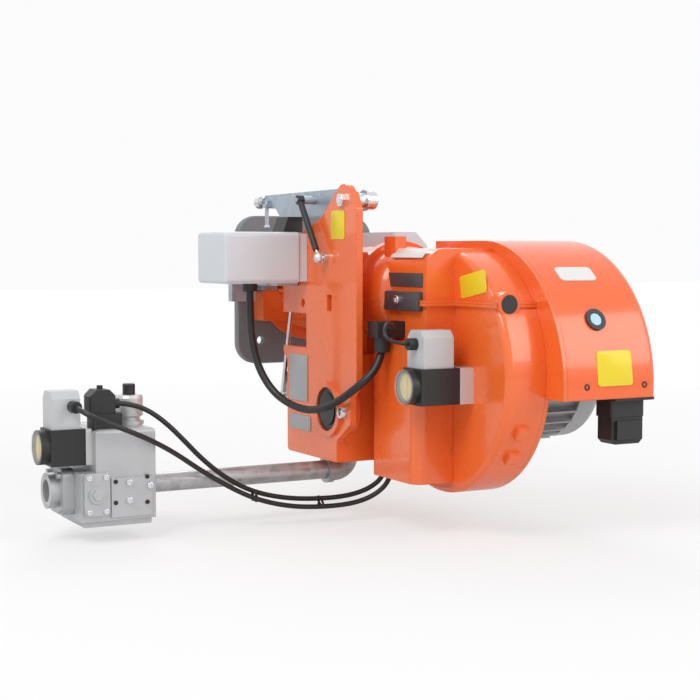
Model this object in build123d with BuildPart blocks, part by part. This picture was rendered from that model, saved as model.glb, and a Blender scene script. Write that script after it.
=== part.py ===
"""Industrial gas burner with a hinged opening arm, a linked gas and air drive and a threaded gas train.

Millimetres. The origin is the centre of the boiler side of the mounting flange. +Y is the flame
direction, into the boiler, +X points at the fan motor and +Z is up.
"""

from build123d import *
from math import asin, atan2, cos, degrees, pi, radians, sin, sqrt, tan
import os

os.makedirs("parts", exist_ok=True)

# Clearances
FIT = 0.05  # radial play of a shaft in its bearing
GAP = 0.3  # free gap between pieces that move or are slipped together

# Boiler flange, flame tube and neck, all round the flame axis X = 0, Z = 0
FLANGE_WIDTH, FLANGE_HEIGHT, FLANGE_THICK, FLANGE_CORNER = 240, 234, 12, 34
BOLT_PCD, BOLT_HOLE_RADIUS = 226, 6.5
GASKET_THICK, GASKET_MARGIN = 3, 6
TUBE_RADIUS, TUBE_WALL, TUBE_REACH, TUBE_SEAT = 54, 1.5, 92, 48
NECK_RADIUS, NECK_BORE, NECK_REAR = 62, 47, -160
NECK_RING_RADIUS, NECK_RING_THICK = 80, 9
FLAME_DISC_Y, FLAME_DISC_THICK = 58, 2
GAS_HEAD_RADIUS, GAS_HEAD_BORE, GAS_HEAD_REAR, GAS_PORT_Y = 15, 11, -125, -105
ELECTRODE_PITCH, ELECTRODE_RADIUS = 30, 4

# Head casting: side plate, air duct and gas box
PLATE_X, PLATE_THICK = -104, 10
PLATE_FRONT, PLATE_REAR = -147, -378
DUCT_RADIUS, DUCT_WALL, DUCT_REAR, DUCT_RING = 68, 10, -312, 8
BOX_RIGHT, BOX_REAR, BOX_BOTTOM, BOX_TOP, BOX_WALL = -25, -319, -236, -84, 8
PORT_Y, PORT_Z, PORT_RADIUS, PORT_RIM = -296, -162, 31, 8
LOBE_RADIUS = 22

# Fan housing: a drum round the fan axis, split level with the flame axis
FAN_Y, FAN_Z = -425, -102
DRUM_RADIUS, DRUM_LEFT, DRUM_RIGHT, DRUM_WALL = 168, 0, 60, 5
SPLIT_Z, SPLIT_RIB = -8, 4
SHOULDER, SHOULDER_ROUND = 62, 36
DOME_LEFT, DOME_REAR, DOME_TOP, DOME_BOTTOM = -45, -465, 65, -60
WHEEL_RADIUS, WHEEL_BLADES, WHEEL_HUB_RADIUS = 104, 30, 22
WHEEL_SIDE_GAP = 4
INTAKE_LEFT, INTAKE_FRONT, INTAKE_REAR, INTAKE_BOTTOM, INTAKE_WALL = -60, -336, -462, -252, 5
EYE_RADIUS = 35

# Motor, on the fan axis
SHAFT_RADIUS = 12
MOTOR_LEFT, MOTOR_RIGHT, MOTOR_RADIUS, MOTOR_FIN, MOTOR_FINS = 66, 175, 92, 11, 32
STATOR_RADIUS, ROTOR_RADIUS = 80, 50
COWL_RIGHT, COWL_WALL = 208, 2

# Hood over the motor
HOOD_LEFT, HOOD_RIGHT, HOOD_WALL = 66, 212, 3
HOOD_TOP, HOOD_BOTTOM, HOOD_FRONT, HOOD_ARC_RADIUS, HOOD_EDGE = 76, -130, -316, 190, 12
HOOD_ARC_Y = -440
RESET_X, RESET_ANGLE = 124, 27

# Control box beside the neck
CONTROL_LEFT, CONTROL_RIGHT, CONTROL_FRONT, CONTROL_REAR = 84, 146, -20, -150
CONTROL_BOTTOM, CONTROL_TOP = -70, 91

# Servomotor and the two parallel-crank linkages that it drives
SERVO_LEFT, SERVO_RIGHT = -235, PLATE_X
SERVO_FRONT, SERVO_REAR, SERVO_BOTTOM, SERVO_TOP = -128, -230, 15, 89
DRIVE_Y, DRIVE_Z, DRIVE_RADIUS = -179, 50, 6
BUTTERFLY_Y, BUTTERFLY_Z, BUTTERFLY_BORE, BUTTERFLY_X = -132, -138, 18, -50
DAMPER_Y, DAMPER_Z = -262, 0
GAS_CRANK, GAS_CRANK_ANGLE = 28, -45
AIR_CRANK, AIR_CRANK_ANGLE = 22, 100
LEVER_THICK, ROD_THICK, LINK_PIN_RADIUS = 4, 3.5, 3
GAS_LEVER_X = -88
AIR_LEVER_X = -83
LEVER_SHAFT_RADIUS = 4

# Opening arm and its gas strut, beside the side plate
PIVOT_Y, PIVOT_Z, PIVOT_RADIUS = -339, 132, 6
ARM_THICK, ARM_FRONT, ARM_TOP = 4, -57, 147
STRUT_X = -117
STRUT_TOP_Y, STRUT_TOP_Z, STRUT_FOOT_Y, STRUT_FOOT_Z = -230, 135, -290, 52
STRUT_RADIUS, STRUT_ROD_RADIUS, STRUT_BALL, STRUT_PLAY = 4.5, 2, 4.5, 1.2
CATCH_Y = -75

# Gas train
PIPE_RADIUS, PIPE_WALL, PIPE_Y, PIPE_Z, PIPE_X = 13.45, 2.6, -241, -257, -47
VALVE_LEFT, VALVE_RIGHT, VALVE_FRONT, VALVE_REAR = -470, -367, -300, -186
VALVE_BOTTOM, VALVE_STEP, VALVE_TOP, VALVE_COIL_LEFT = -302, -229, -173, -450
VALVE_BORE = 14
SWITCH_DEPTH, SWITCH_HEIGHT = 50, 48
COIL_Y = -274

# Cords
CONDUIT_RADIUS, CABLE_RADIUS, SWITCH_CABLE_RADIUS = 5.5, 3.5, 2.5


def block(x0, x1, y0, y1, z0, z1, mode=Mode.ADD):
    """A box between two corners."""
    with Locations(((x0 + x1) / 2, (y0 + y1) / 2, (z0 + z1) / 2)):
        Box(abs(x1 - x0), abs(y1 - y0), abs(z1 - z0), mode=mode)


def bar_x(radius, x0, x1, y, z, mode=Mode.ADD):
    """A round bar along X."""
    with Locations(((x0 + x1) / 2, y, z)):
        Cylinder(radius, abs(x1 - x0), rotation=(0, 90, 0), mode=mode)


def bar_y(radius, y0, y1, x, z, mode=Mode.ADD):
    """A round bar along Y."""
    with Locations((x, (y0 + y1) / 2, z)):
        Cylinder(radius, abs(y1 - y0), rotation=(90, 0, 0), mode=mode)


def bar_z(radius, z0, z1, x, y, mode=Mode.ADD):
    """A round bar along Z."""
    with Locations((x, y, (z0 + z1) / 2)):
        Cylinder(radius, abs(z1 - z0), mode=mode)


def save(piece, name):
    """Labels a finished piece and writes it as one STEP file."""
    piece.part.label = name
    export_step(piece.part, f"parts/{name}.step")


# ---------------------------------------------------------------- flange and burner head

bolt_half = BOLT_PCD / 2 * cos(radians(45))
with BuildPart() as boiler_flange:
    with BuildSketch(Plane.XZ):
        RectangleRounded(FLANGE_WIDTH, FLANGE_HEIGHT, FLANGE_CORNER)
        Circle(NECK_BORE + TUBE_WALL + 8, mode=Mode.SUBTRACT)
        with GridLocations(2 * bolt_half, 2 * bolt_half, 2, 2):
            Circle(BOLT_HOLE_RADIUS, mode=Mode.SUBTRACT)
    extrude(amount=FLANGE_THICK)
    chamfer(boiler_flange.faces().sort_by(Axis.Y)[0].outer_wire().edges(), 2)
save(boiler_flange, "boiler_flange")

with BuildPart() as flange_gasket:
    with BuildSketch(Plane.XZ.offset(-GASKET_THICK)):
        RectangleRounded(FLANGE_WIDTH - GASKET_MARGIN, FLANGE_HEIGHT - GASKET_MARGIN, FLANGE_CORNER)
        Circle(TUBE_RADIUS + 2, mode=Mode.SUBTRACT)
        with GridLocations(2 * bolt_half, 2 * bolt_half, 2, 2):
            Circle(BOLT_HOLE_RADIUS + 0.5, mode=Mode.SUBTRACT)
    extrude(amount=GASKET_THICK)
save(flange_gasket, "flange_gasket")

# The tube slips into the neck and stops on its inner step.
tube_rear = -FLANGE_THICK - TUBE_SEAT
with BuildPart() as flame_tube:
    with BuildSketch(Plane.XZ.offset(-TUBE_REACH)):
        Circle(TUBE_RADIUS)
        Circle(TUBE_RADIUS - TUBE_WALL, mode=Mode.SUBTRACT)
    extrude(amount=TUBE_REACH - tube_rear)
    with BuildSketch(Plane.XZ.offset(-TUBE_REACH)):
        Circle(TUBE_RADIUS)
        Circle(TUBE_RADIUS - 9, mode=Mode.SUBTRACT)
    extrude(amount=2)
save(flame_tube, "flame_tube")

with BuildPart() as diffuser_disc:
    with BuildSketch(Plane.XZ.offset(-FLAME_DISC_Y)):
        Circle(TUBE_RADIUS - TUBE_WALL - 6)
        Circle(GAS_HEAD_RADIUS + GAP, mode=Mode.SUBTRACT)
        with PolarLocations(32, 12):
            Rectangle(20, 3.2, mode=Mode.SUBTRACT)
    extrude(amount=FLAME_DISC_THICK)
save(diffuser_disc, "diffuser_disc")

# Central gas tube: a collar carries the disc, spokes centre it in the tube, arms hold the electrodes
# and a branch takes the gas from the port in the neck.
disc_rear = FLAME_DISC_Y - FLAME_DISC_THICK
spoke_reach = TUBE_RADIUS - TUBE_WALL - GAP
arm_reach = ELECTRODE_PITCH - ELECTRODE_RADIUS - GAP
electrode_angles = (60, 120, 230)
with BuildPart() as gas_head_tube:
    bar_y(GAS_HEAD_RADIUS, GAS_HEAD_REAR, FLAME_DISC_Y + 6, 0, 0)
    bar_y(GAS_HEAD_RADIUS + 5, disc_rear - 6, disc_rear, 0, 0)
    with BuildSketch(Plane.XZ.offset(20)):
        with PolarLocations(0, 4):
            with Locations((spoke_reach / 2, 0)):
                Rectangle(spoke_reach, 3)
    extrude(amount=14)
    for angle in electrode_angles:
        with BuildSketch(Plane.XZ.offset(4)):
            with PolarLocations(0, 1, start_angle=angle):
                with Locations((arm_reach / 2, 0)):
                    Rectangle(arm_reach, 5)
        extrude(amount=8)
    bar_z(9, -NECK_RADIUS - 6, 0, 0, GAS_PORT_Y)
    bar_y(GAS_HEAD_BORE, GAS_HEAD_REAR + 4, FLAME_DISC_Y + 6, 0, 0, mode=Mode.SUBTRACT)
    bar_z(7, -NECK_RADIUS - 6, 0, 0, GAS_PORT_Y, mode=Mode.SUBTRACT)
save(gas_head_tube, "gas_head_tube")

# Two ignition electrodes and one ionisation probe: wires in ceramic sleeves beside the gas tube.
with BuildPart() as electrodes:
    for angle in electrode_angles:
        ex = ELECTRODE_PITCH * cos(radians(angle))
        ez = ELECTRODE_PITCH * sin(radians(angle))
        bar_y(ELECTRODE_RADIUS, -70, disc_rear - 18, ex, ez)
        bar_y(1.5, disc_rear - 18, disc_rear - 2, ex, ez)
save(electrodes, "electrodes")

# Neck casting: rings at both ends, a bore with the tube's stop, the gas port and an ear for brackets.
ear_top, ear_left, port_bottom = 0, -94, -NECK_RADIUS - 10
with BuildPart() as head_neck:
    bar_y(NECK_RADIUS, NECK_REAR, -FLANGE_THICK, 0, 0)
    bar_y(NECK_RING_RADIUS, -FLANGE_THICK - NECK_RING_THICK, -FLANGE_THICK, 0, 0)
    bar_y(NECK_RADIUS + 8, NECK_REAR, NECK_REAR + NECK_RING_THICK, 0, 0)
    block(ear_left, -50, -52, -FLANGE_THICK - 4, -48, ear_top)
    block(50, CONTROL_LEFT, -110, -60, -12, 12)
    block(-16, 16, GAS_PORT_Y - 16, GAS_PORT_Y + 16, port_bottom, -40)
    for angle in range(0, 360, 45):
        with Locations(Location((0, 0, 0), (0, angle, 0))):
            with Locations((NECK_RADIUS + 2, -80, 0)):
                Box(8, 120, 5)
    fillet(head_neck.edges().filter_by(Axis.Y).group_by(Axis.X)[0], 6)
    bar_y(TUBE_RADIUS + FIT, tube_rear, 0, 0, 0, mode=Mode.SUBTRACT)
    bar_y(NECK_BORE, NECK_REAR, tube_rear, 0, 0, mode=Mode.SUBTRACT)
    bar_z(9 + FIT, port_bottom, -30, 0, GAS_PORT_Y, mode=Mode.SUBTRACT)
save(head_neck, "head_neck")

# ---------------------------------------------------------------- head casting

# One casting: the tall side plate, the air duct behind it and the gas box below. The window in the plate
# shows the linkage, the slot its air lever, and the port its gas chamber.
plate_back = PLATE_X + PLATE_THICK
window_bottom, window_top, window_rear = -79, -29, -224
with BuildPart() as head_casting:
    with BuildSketch(Plane.YZ.offset(PLATE_X)) as plate_outline:
        with BuildLine():
            Polyline(
                (NECK_REAR, BOX_BOTTOM),
                (NECK_REAR, BUTTERFLY_Z + 40),
                (PLATE_FRONT, BUTTERFLY_Z + 48),
                (PLATE_FRONT, SERVO_BOTTOM + 45),
                (-200, 84),
                (-234, 96),
                (-269, 107),
                (PIVOT_Y + 30, PIVOT_Z + 4),
                (PIVOT_Y - 30, PIVOT_Z + 4),
                (PLATE_REAR, PIVOT_Z - 12),
                (PLATE_REAR, -121),
                (PORT_Y - 64, PORT_Z + 22),
                (PORT_Y - 64, PORT_Z - 16),
                (BOX_REAR, -205),
                (BOX_REAR, BOX_BOTTOM),
                close=True,
            )
        make_face()
        fillet(plate_outline.vertices().sort_by(Axis.Y)[1:-2], 7)
        with Locations((PIVOT_Y, PIVOT_Z)):
            Circle(LOBE_RADIUS)
            Trapezoid(2 * LOBE_RADIUS + 28, 22, 66, mode=Mode.ADD)
    extrude(amount=PLATE_THICK)
    bar_y(DUCT_RADIUS, DUCT_REAR, NECK_REAR, 0, 0)
    block(plate_back, BOX_RIGHT, BOX_REAR, NECK_REAR, BOX_BOTTOM, BOX_TOP)
    block(PLATE_X + 44, BOX_RIGHT, DUCT_REAR + DUCT_RING, NECK_REAR, BOX_TOP, -44)
    block(plate_back, -50, DUCT_REAR, DUCT_REAR + DUCT_RING, BOX_TOP, 60)
    bar_x(PORT_RADIUS + PORT_RIM, PLATE_X - 5, PLATE_X, PORT_Y, PORT_Z)
    bar_x(PORT_RADIUS + PORT_RIM, plate_back, plate_back + 20, PORT_Y, PORT_Z)
    bar_y(DUCT_RADIUS + DUCT_RING, DUCT_REAR, DUCT_REAR + DUCT_RING, 0, 0)
    # Duct bore, with its front wall left round the neck's bore
    bar_y(DUCT_RADIUS - DUCT_WALL, DUCT_REAR, NECK_REAR - 8, 0, 0, mode=Mode.SUBTRACT)
    bar_y(NECK_BORE, NECK_REAR - 8, NECK_REAR, 0, 0, mode=Mode.SUBTRACT)
    # Gas chamber, with its inlet below and its outlet to the butterfly in front
    block(
        plate_back + 2, BOX_RIGHT - BOX_WALL, BOX_REAR + BOX_WALL, NECK_REAR - BOX_WALL,
        BOX_BOTTOM + BOX_WALL, BOX_TOP - BOX_WALL, mode=Mode.SUBTRACT,
    )
    bar_z(PIPE_RADIUS - PIPE_WALL, BOX_BOTTOM, BOX_BOTTOM + BOX_WALL, PIPE_X, PIPE_Y, mode=Mode.SUBTRACT)
    bar_y(BUTTERFLY_BORE, NECK_REAR - BOX_WALL, NECK_REAR, BUTTERFLY_X, BUTTERFLY_Z, mode=Mode.SUBTRACT)
    bar_x(PORT_RADIUS, PLATE_X - 5, plate_back + 2, PORT_Y, PORT_Z, mode=Mode.SUBTRACT)
    # Window, slot, small round hole, servo shaft hole and pivot hole through the plate
    block(PLATE_X, plate_back, window_rear, PLATE_FRONT, window_bottom, window_top, mode=Mode.SUBTRACT)
    block(PLATE_X, plate_back, -304, -290, -23, 0, mode=Mode.SUBTRACT)
    bar_x(6, PLATE_X, plate_back, -213, -14, mode=Mode.SUBTRACT)
    bar_x(DRIVE_RADIUS + 3, PLATE_X, plate_back, DRIVE_Y, DRIVE_Z, mode=Mode.SUBTRACT)
    bar_x(PIVOT_RADIUS + FIT, PLATE_X, plate_back, PIVOT_Y, PIVOT_Z, mode=Mode.SUBTRACT)
    # Bearing bosses of the air damper
    bar_x(9, -DUCT_RADIUS - 5, -DUCT_RADIUS + 8, DAMPER_Y, DAMPER_Z)
    bar_x(9, DUCT_RADIUS - 8, DUCT_RADIUS + 5, DAMPER_Y, DAMPER_Z)
    bar_y(DUCT_RADIUS - DUCT_WALL, DAMPER_Y - 20, DAMPER_Y + 20, 0, 0, mode=Mode.SUBTRACT)
    bar_x(LEVER_SHAFT_RADIUS + FIT, -DUCT_RADIUS - 5, DUCT_RADIUS + 2, DAMPER_Y, DAMPER_Z, mode=Mode.SUBTRACT)
save(head_casting, "head_casting")

# ---------------------------------------------------------------- fan housing and air intake

# Round plugs close the sight hole on the drum and the gas chamber's port.
sight_angle = asin((SPLIT_Z + 1 - FAN_Z) / DRUM_RADIUS)
sight_x, sight_z = 16, FAN_Z + DRUM_RADIUS * sin(sight_angle)
sight_y = FAN_Y - DRUM_RADIUS * cos(sight_angle)
sight_radius = 12
with BuildPart() as port_plugs:
    bar_x(PORT_RADIUS - GAP, PLATE_X - 2, PLATE_X + 6, PORT_Y, PORT_Z)
    bar_x(PORT_RADIUS - 8, PLATE_X - 4, PLATE_X - 2, PORT_Y, PORT_Z)
    bar_y(sight_radius - FIT, sight_y - 9, sight_y + 8, sight_x, sight_z)
save(port_plugs, "port_plugs")

# The housing is cast in two halves that meet on a flange level with the parting plane. The same form
# makes both: a drum round the fan, and a dome that leads its air forward into the duct.
rib_reach = sqrt(DRUM_RADIUS**2 - (SPLIT_Z - FAN_Z) ** 2) + 5
rib_low, rib_high = SPLIT_Z - SPLIT_RIB, SPLIT_Z + SPLIT_RIB
notch_z = -DUCT_RADIUS - DUCT_RING


def drum(inset, x0, x1, mode=Mode.ADD):
    """The fan drum's round form, stepped back in front to leave room for the duct."""
    with BuildSketch(Plane.YZ.offset(x0)) as profile:
        with Locations((FAN_Y, FAN_Z)):
            Circle(DRUM_RADIUS - inset)
        with Locations((DUCT_REAR - inset, notch_z - inset)):
            Rectangle(DRUM_RADIUS, 2 * DRUM_RADIUS, align=(Align.MIN, Align.MIN), mode=Mode.SUBTRACT)
    extrude(profile.sketch, amount=x1 - x0, mode=mode)


def shoulder(inset, mode=Mode.ADD):
    """The round shoulder behind the duct, where the dome's air turns towards the flame."""
    end, radius, corner = DUCT_REAR - SHOULDER + inset, DUCT_RADIUS - inset, SHOULDER_ROUND - inset
    with BuildSketch(Plane.XY) as profile:
        with BuildLine():
            Polyline((0, end), (0, DUCT_REAR), (radius, DUCT_REAR), (radius, end + corner))
            RadiusArc((radius, end + corner), (radius - corner, end), corner)
            Line((radius - corner, end), (0, end))
        make_face()
    revolve(profile.sketch, axis=Axis((0, 0, 0), (0, 1, 0)), mode=mode)


def housing_form():
    """The whole fan housing, outside and inside, before it is parted."""
    wall = DRUM_WALL
    drum(0, DRUM_LEFT, DRUM_RIGHT)
    fillet(edges(Select.LAST).filter_by(GeomType.CIRCLE).sort_by(Axis.X)[0], 9)
    block(DOME_LEFT, DRUM_RIGHT, DOME_REAR, DUCT_REAR, DOME_BOTTOM, DOME_TOP)
    fillet(edges(Select.LAST).filter_by(Axis.Y).group_by(Axis.Z)[-1].sort_by(Axis.X)[0], 28)
    shoulder(0)
    block(-DUCT_RADIUS, DRUM_LEFT, DUCT_REAR - SHOULDER, INTAKE_FRONT, -DUCT_RADIUS, DOME_BOTTOM, mode=Mode.SUBTRACT)
    block(DOME_LEFT - 5, DRUM_RIGHT, DOME_REAR - 5, DUCT_REAR, rib_low, rib_high)
    block(DRUM_LEFT - 4, DRUM_RIGHT, FAN_Y - rib_reach, DUCT_REAR, rib_low, rib_high)
    bar_y(DUCT_RADIUS + DUCT_RING, DUCT_REAR - DUCT_RING, DUCT_REAR, 0, 0)
    block(DRUM_RIGHT, DRUM_RIGHT + 40, DUCT_REAR - SHOULDER, DUCT_REAR, notch_z, -notch_z, mode=Mode.SUBTRACT)
    bar_y(sight_radius + 5, sight_y - 8, sight_y + 30, sight_x, sight_z)
    drum(wall, DRUM_LEFT + wall, DRUM_RIGHT, mode=Mode.SUBTRACT)
    block(
        DOME_LEFT + wall, DRUM_RIGHT - wall, DOME_REAR + wall, DUCT_REAR - DUCT_RING,
        DOME_BOTTOM + wall, DOME_TOP - 18, mode=Mode.SUBTRACT,
    )
    block(
        DOME_LEFT + 24, DRUM_RIGHT - wall, DOME_REAR + wall, DUCT_REAR - DUCT_RING,
        DOME_BOTTOM + wall, DOME_TOP - wall, mode=Mode.SUBTRACT,
    )
    shoulder(DUCT_WALL, mode=Mode.SUBTRACT)
    bar_y(DUCT_RADIUS - DUCT_WALL, DUCT_REAR - DUCT_RING - 1, DUCT_REAR, 0, 0, mode=Mode.SUBTRACT)
    bar_y(sight_radius, sight_y - 8, sight_y + 40, sight_x, sight_z, mode=Mode.SUBTRACT)
    bar_x(EYE_RADIUS, DRUM_LEFT, DRUM_LEFT + wall, FAN_Y, FAN_Z, mode=Mode.SUBTRACT)


with BuildPart() as fan_housing_upper:
    housing_form()
    split(bisect_by=Plane.XY.offset(SPLIT_Z), keep=Keep.TOP)
    block(-40, -22, DUCT_REAR - 60, DUCT_REAR - 30, DOME_TOP - 14, DOME_TOP + 17)
save(fan_housing_upper, "fan_housing_upper")

with BuildPart() as fan_housing_lower:
    housing_form()
    split(bisect_by=Plane.XY.offset(SPLIT_Z), keep=Keep.BOTTOM)
    with BuildSketch(Plane.YZ.offset(DRUM_LEFT + 22)):
        with Locations((FAN_Y, FAN_Z)):
            with PolarLocations(DRUM_RADIUS, 2, start_angle=205, angular_range=28):
                Rectangle(14, 16)
            Circle(DRUM_RADIUS - DRUM_WALL + 1, mode=Mode.SUBTRACT)
    extrude(amount=18)
save(fan_housing_lower, "fan_housing_lower")

# Air intake: a duct cast on the drum's free side, open below, that leads the room's air to the fan's eye.
gland_boss_z = -212
with BuildPart() as air_intake:
    block(INTAKE_LEFT, DRUM_LEFT, INTAKE_REAR, INTAKE_FRONT, INTAKE_BOTTOM, DOME_BOTTOM)
    fillet(air_intake.edges().filter_by(Axis.Z).group_by(Axis.X)[0], 16)
    block(
        INTAKE_LEFT + INTAKE_WALL, DRUM_LEFT, INTAKE_REAR + INTAKE_WALL, INTAKE_FRONT - INTAKE_WALL,
        INTAKE_BOTTOM, DOME_BOTTOM - INTAKE_WALL, mode=Mode.SUBTRACT,
    )
    block(BOX_RIGHT + 1, DRUM_LEFT, INTAKE_FRONT, INTAKE_FRONT + 40, gland_boss_z - 10, gland_boss_z)
save(air_intake, "air_intake")

# Motor plate: closes the drum on the motor side and carries the motor and the hood.
plate_right = HOOD_LEFT


def hood_profile(inset, x0, x1, mode=Mode.ADD):
    """The hood's side form: flat on top, a quarter circle down the rear, straight in front."""
    rear = HOOD_ARC_Y - HOOD_ARC_RADIUS + inset
    top, front, arc_z = HOOD_TOP - inset, HOOD_FRONT - inset, HOOD_TOP - HOOD_ARC_RADIUS
    with BuildSketch(Plane.YZ.offset(x0)) as profile:
        with BuildLine():
            Polyline((rear, arc_z), (rear, HOOD_BOTTOM), (front, HOOD_BOTTOM), (front, top), (HOOD_ARC_Y, top))
            CenterArc((HOOD_ARC_Y, arc_z), HOOD_ARC_RADIUS - inset, 90, 90)
        make_face()
    extrude(profile.sketch, amount=x1 - x0, mode=mode)


with BuildPart() as motor_plate:
    hood_profile(0, DRUM_RIGHT, plate_right)
    with BuildSketch(Plane.YZ.offset(DRUM_RIGHT)):
        with Locations((FAN_Y, FAN_Z)):
            Circle(DRUM_RADIUS)
        with Locations((HOOD_FRONT, notch_z)):
            Rectangle(DRUM_RADIUS, 2 * DRUM_RADIUS, align=(Align.MIN, Align.MIN), mode=Mode.SUBTRACT)
    extrude(amount=plate_right - DRUM_RIGHT)
    bar_x(SHAFT_RADIUS + 2, DRUM_RIGHT, plate_right, FAN_Y, FAN_Z, mode=Mode.SUBTRACT)
save(motor_plate, "motor_plate")

# Fan wheel: hub and back plate on the motor shaft, curved blades and a front ring, open at the eye.
wheel_left, wheel_back = DRUM_LEFT + DRUM_WALL + WHEEL_SIDE_GAP, DRUM_RIGHT - WHEEL_SIDE_GAP
blade_root = WHEEL_RADIUS - 26
with BuildPart() as fan_wheel:
    bar_x(WHEEL_RADIUS, wheel_back - 2, wheel_back, FAN_Y, FAN_Z)
    bar_x(WHEEL_HUB_RADIUS, wheel_left + 12, wheel_back, FAN_Y, FAN_Z)
    with BuildSketch(Plane.YZ.offset(wheel_left)):
        with Locations((FAN_Y, FAN_Z)):
            Circle(WHEEL_RADIUS)
            Circle(blade_root, mode=Mode.SUBTRACT)
    extrude(amount=2)
    with BuildSketch(Plane.YZ.offset(wheel_left + 1)):
        with Locations((FAN_Y, FAN_Z)):
            with PolarLocations((WHEEL_RADIUS + blade_root) / 2, WHEEL_BLADES):
                Rectangle(26, 1.6, rotation=32)
    extrude(amount=wheel_back - wheel_left - 2)
    bar_x(SHAFT_RADIUS, wheel_left, wheel_back, FAN_Y, FAN_Z, mode=Mode.SUBTRACT)
save(fan_wheel, "fan_wheel")

# ---------------------------------------------------------------- motor

end_wall = 8
with BuildPart() as motor_rotor:
    bar_x(SHAFT_RADIUS, wheel_left + 12, COWL_RIGHT - 14, FAN_Y, FAN_Z)
    bar_x(ROTOR_RADIUS, MOTOR_LEFT + 20, MOTOR_RIGHT - 20, FAN_Y, FAN_Z)
    fan_left = MOTOR_RIGHT + 6
    bar_x(44, fan_left, fan_left + 3, FAN_Y, FAN_Z)
    with BuildSketch(Plane.YZ.offset(fan_left)):
        with Locations((FAN_Y, FAN_Z)):
            with PolarLocations(58, 6):
                Rectangle(46, 3)
    extrude(amount=12)
save(motor_rotor, "motor_rotor")

with BuildPart() as stator:
    bar_x(STATOR_RADIUS, MOTOR_LEFT + 16, MOTOR_RIGHT - 16, FAN_Y, FAN_Z)
    bar_x(ROTOR_RADIUS + GAP, MOTOR_LEFT + 16, MOTOR_RIGHT - 16, FAN_Y, FAN_Z, mode=Mode.SUBTRACT)
save(stator, "stator")

with BuildPart() as motor_body:
    bar_x(MOTOR_RADIUS, MOTOR_LEFT, MOTOR_RIGHT, FAN_Y, FAN_Z)
    bar_x(MOTOR_RADIUS + MOTOR_FIN, MOTOR_LEFT, MOTOR_LEFT + 7, FAN_Y, FAN_Z)
    with BuildSketch(Plane.YZ.offset(MOTOR_LEFT + 4)):
        with Locations((FAN_Y, FAN_Z)):
            with PolarLocations(MOTOR_RADIUS + MOTOR_FIN / 2 - 1, MOTOR_FINS):
                Rectangle(MOTOR_FIN + 2, 3)
    extrude(amount=MOTOR_RIGHT - MOTOR_LEFT - 8)
    bar_x(STATOR_RADIUS, MOTOR_LEFT + end_wall, MOTOR_RIGHT - end_wall, FAN_Y, FAN_Z, mode=Mode.SUBTRACT)
    bar_x(SHAFT_RADIUS + FIT, MOTOR_LEFT, MOTOR_RIGHT, FAN_Y, FAN_Z, mode=Mode.SUBTRACT)
save(motor_body, "motor_body")

cowl_radius = MOTOR_RADIUS + MOTOR_FIN - 3
with BuildPart() as motor_cowl:
    bar_x(cowl_radius, MOTOR_RIGHT - 4, COWL_RIGHT, FAN_Y, FAN_Z)
    fillet(motor_cowl.edges().filter_by(GeomType.CIRCLE).sort_by(Axis.X)[-1], 12)
    bar_x(MOTOR_RADIUS, MOTOR_RIGHT - 4, MOTOR_RIGHT, FAN_Y, FAN_Z, mode=Mode.SUBTRACT)
    bar_x(cowl_radius - 13, MOTOR_RIGHT, COWL_RIGHT - COWL_WALL, FAN_Y, FAN_Z, mode=Mode.SUBTRACT)
    with BuildSketch(Plane.YZ.offset(COWL_RIGHT)):
        with Locations((FAN_Y, FAN_Z)):
            for ring, count in ((24, 8), (44, 14), (64, 20)):
                with PolarLocations(ring, count):
                    Rectangle(12, 5)
    extrude(amount=-COWL_WALL, mode=Mode.SUBTRACT)
save(motor_cowl, "motor_cowl")
# ---------------------------------------------------------------- hood and electrics

# The reset button sits square on the hood's curve.
arc_z = HOOD_TOP - HOOD_ARC_RADIUS
reset_out = (0, -cos(radians(RESET_ANGLE)), sin(radians(RESET_ANGLE)))
reset_plane = Plane(
    origin=(RESET_X, HOOD_ARC_Y + HOOD_ARC_RADIUS * reset_out[1], arc_z + HOOD_ARC_RADIUS * reset_out[2]),
    x_dir=(1, 0, 0),
    z_dir=reset_out,
)
BEZEL_RADIUS, BEZEL_BORE = 15, 9


def disc_on(plane, radius, low, high, mode=Mode.ADD):
    """A round disc along a plane's normal, between two heights over the plane."""
    with BuildSketch(plane.offset(low)) as face:
        Circle(radius)
    extrude(face.sketch, amount=high - low, dir=plane.z_dir, mode=mode)


with BuildPart() as hood:
    hood_profile(0, HOOD_LEFT, HOOD_RIGHT)
    rim = hood.faces().sort_by(Axis.X)[-1].edges().filter_by(Axis.Y, reverse=True)
    fillet([e for e in rim if e.center().Z > HOOD_BOTTOM + 1], HOOD_EDGE)
    hood_profile(HOOD_WALL, HOOD_LEFT, HOOD_RIGHT - HOOD_EDGE, mode=Mode.SUBTRACT)
    hood_profile(HOOD_EDGE, HOOD_RIGHT - HOOD_EDGE, HOOD_RIGHT - HOOD_WALL, mode=Mode.SUBTRACT)
    bar_x(MOTOR_RADIUS + MOTOR_FIN + 3, HOOD_LEFT, COWL_RIGHT + 1, FAN_Y, FAN_Z, mode=Mode.SUBTRACT)
    disc_on(reset_plane, BEZEL_RADIUS - 3 + FIT, -16, 8, mode=Mode.SUBTRACT)
save(hood, "hood")

with BuildPart() as reset_bezel:
    disc_on(reset_plane, BEZEL_RADIUS, 0.8, 3)
    disc_on(reset_plane, BEZEL_RADIUS - 3, -14, 3)
    disc_on(reset_plane, BEZEL_BORE, -10, 3, mode=Mode.SUBTRACT)
    disc_on(reset_plane, 3 + FIT, -14, -10, mode=Mode.SUBTRACT)
save(reset_bezel, "reset_bezel")

with BuildPart() as reset_button:
    disc_on(reset_plane, BEZEL_BORE - 0.1, -4.5, 2.5)
    disc_on(reset_plane, 3, -18, -4.5)
    fillet(reset_button.faces().sort_by(Axis.Y)[0].edges(), 1)
save(reset_button, "reset_button")

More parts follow.
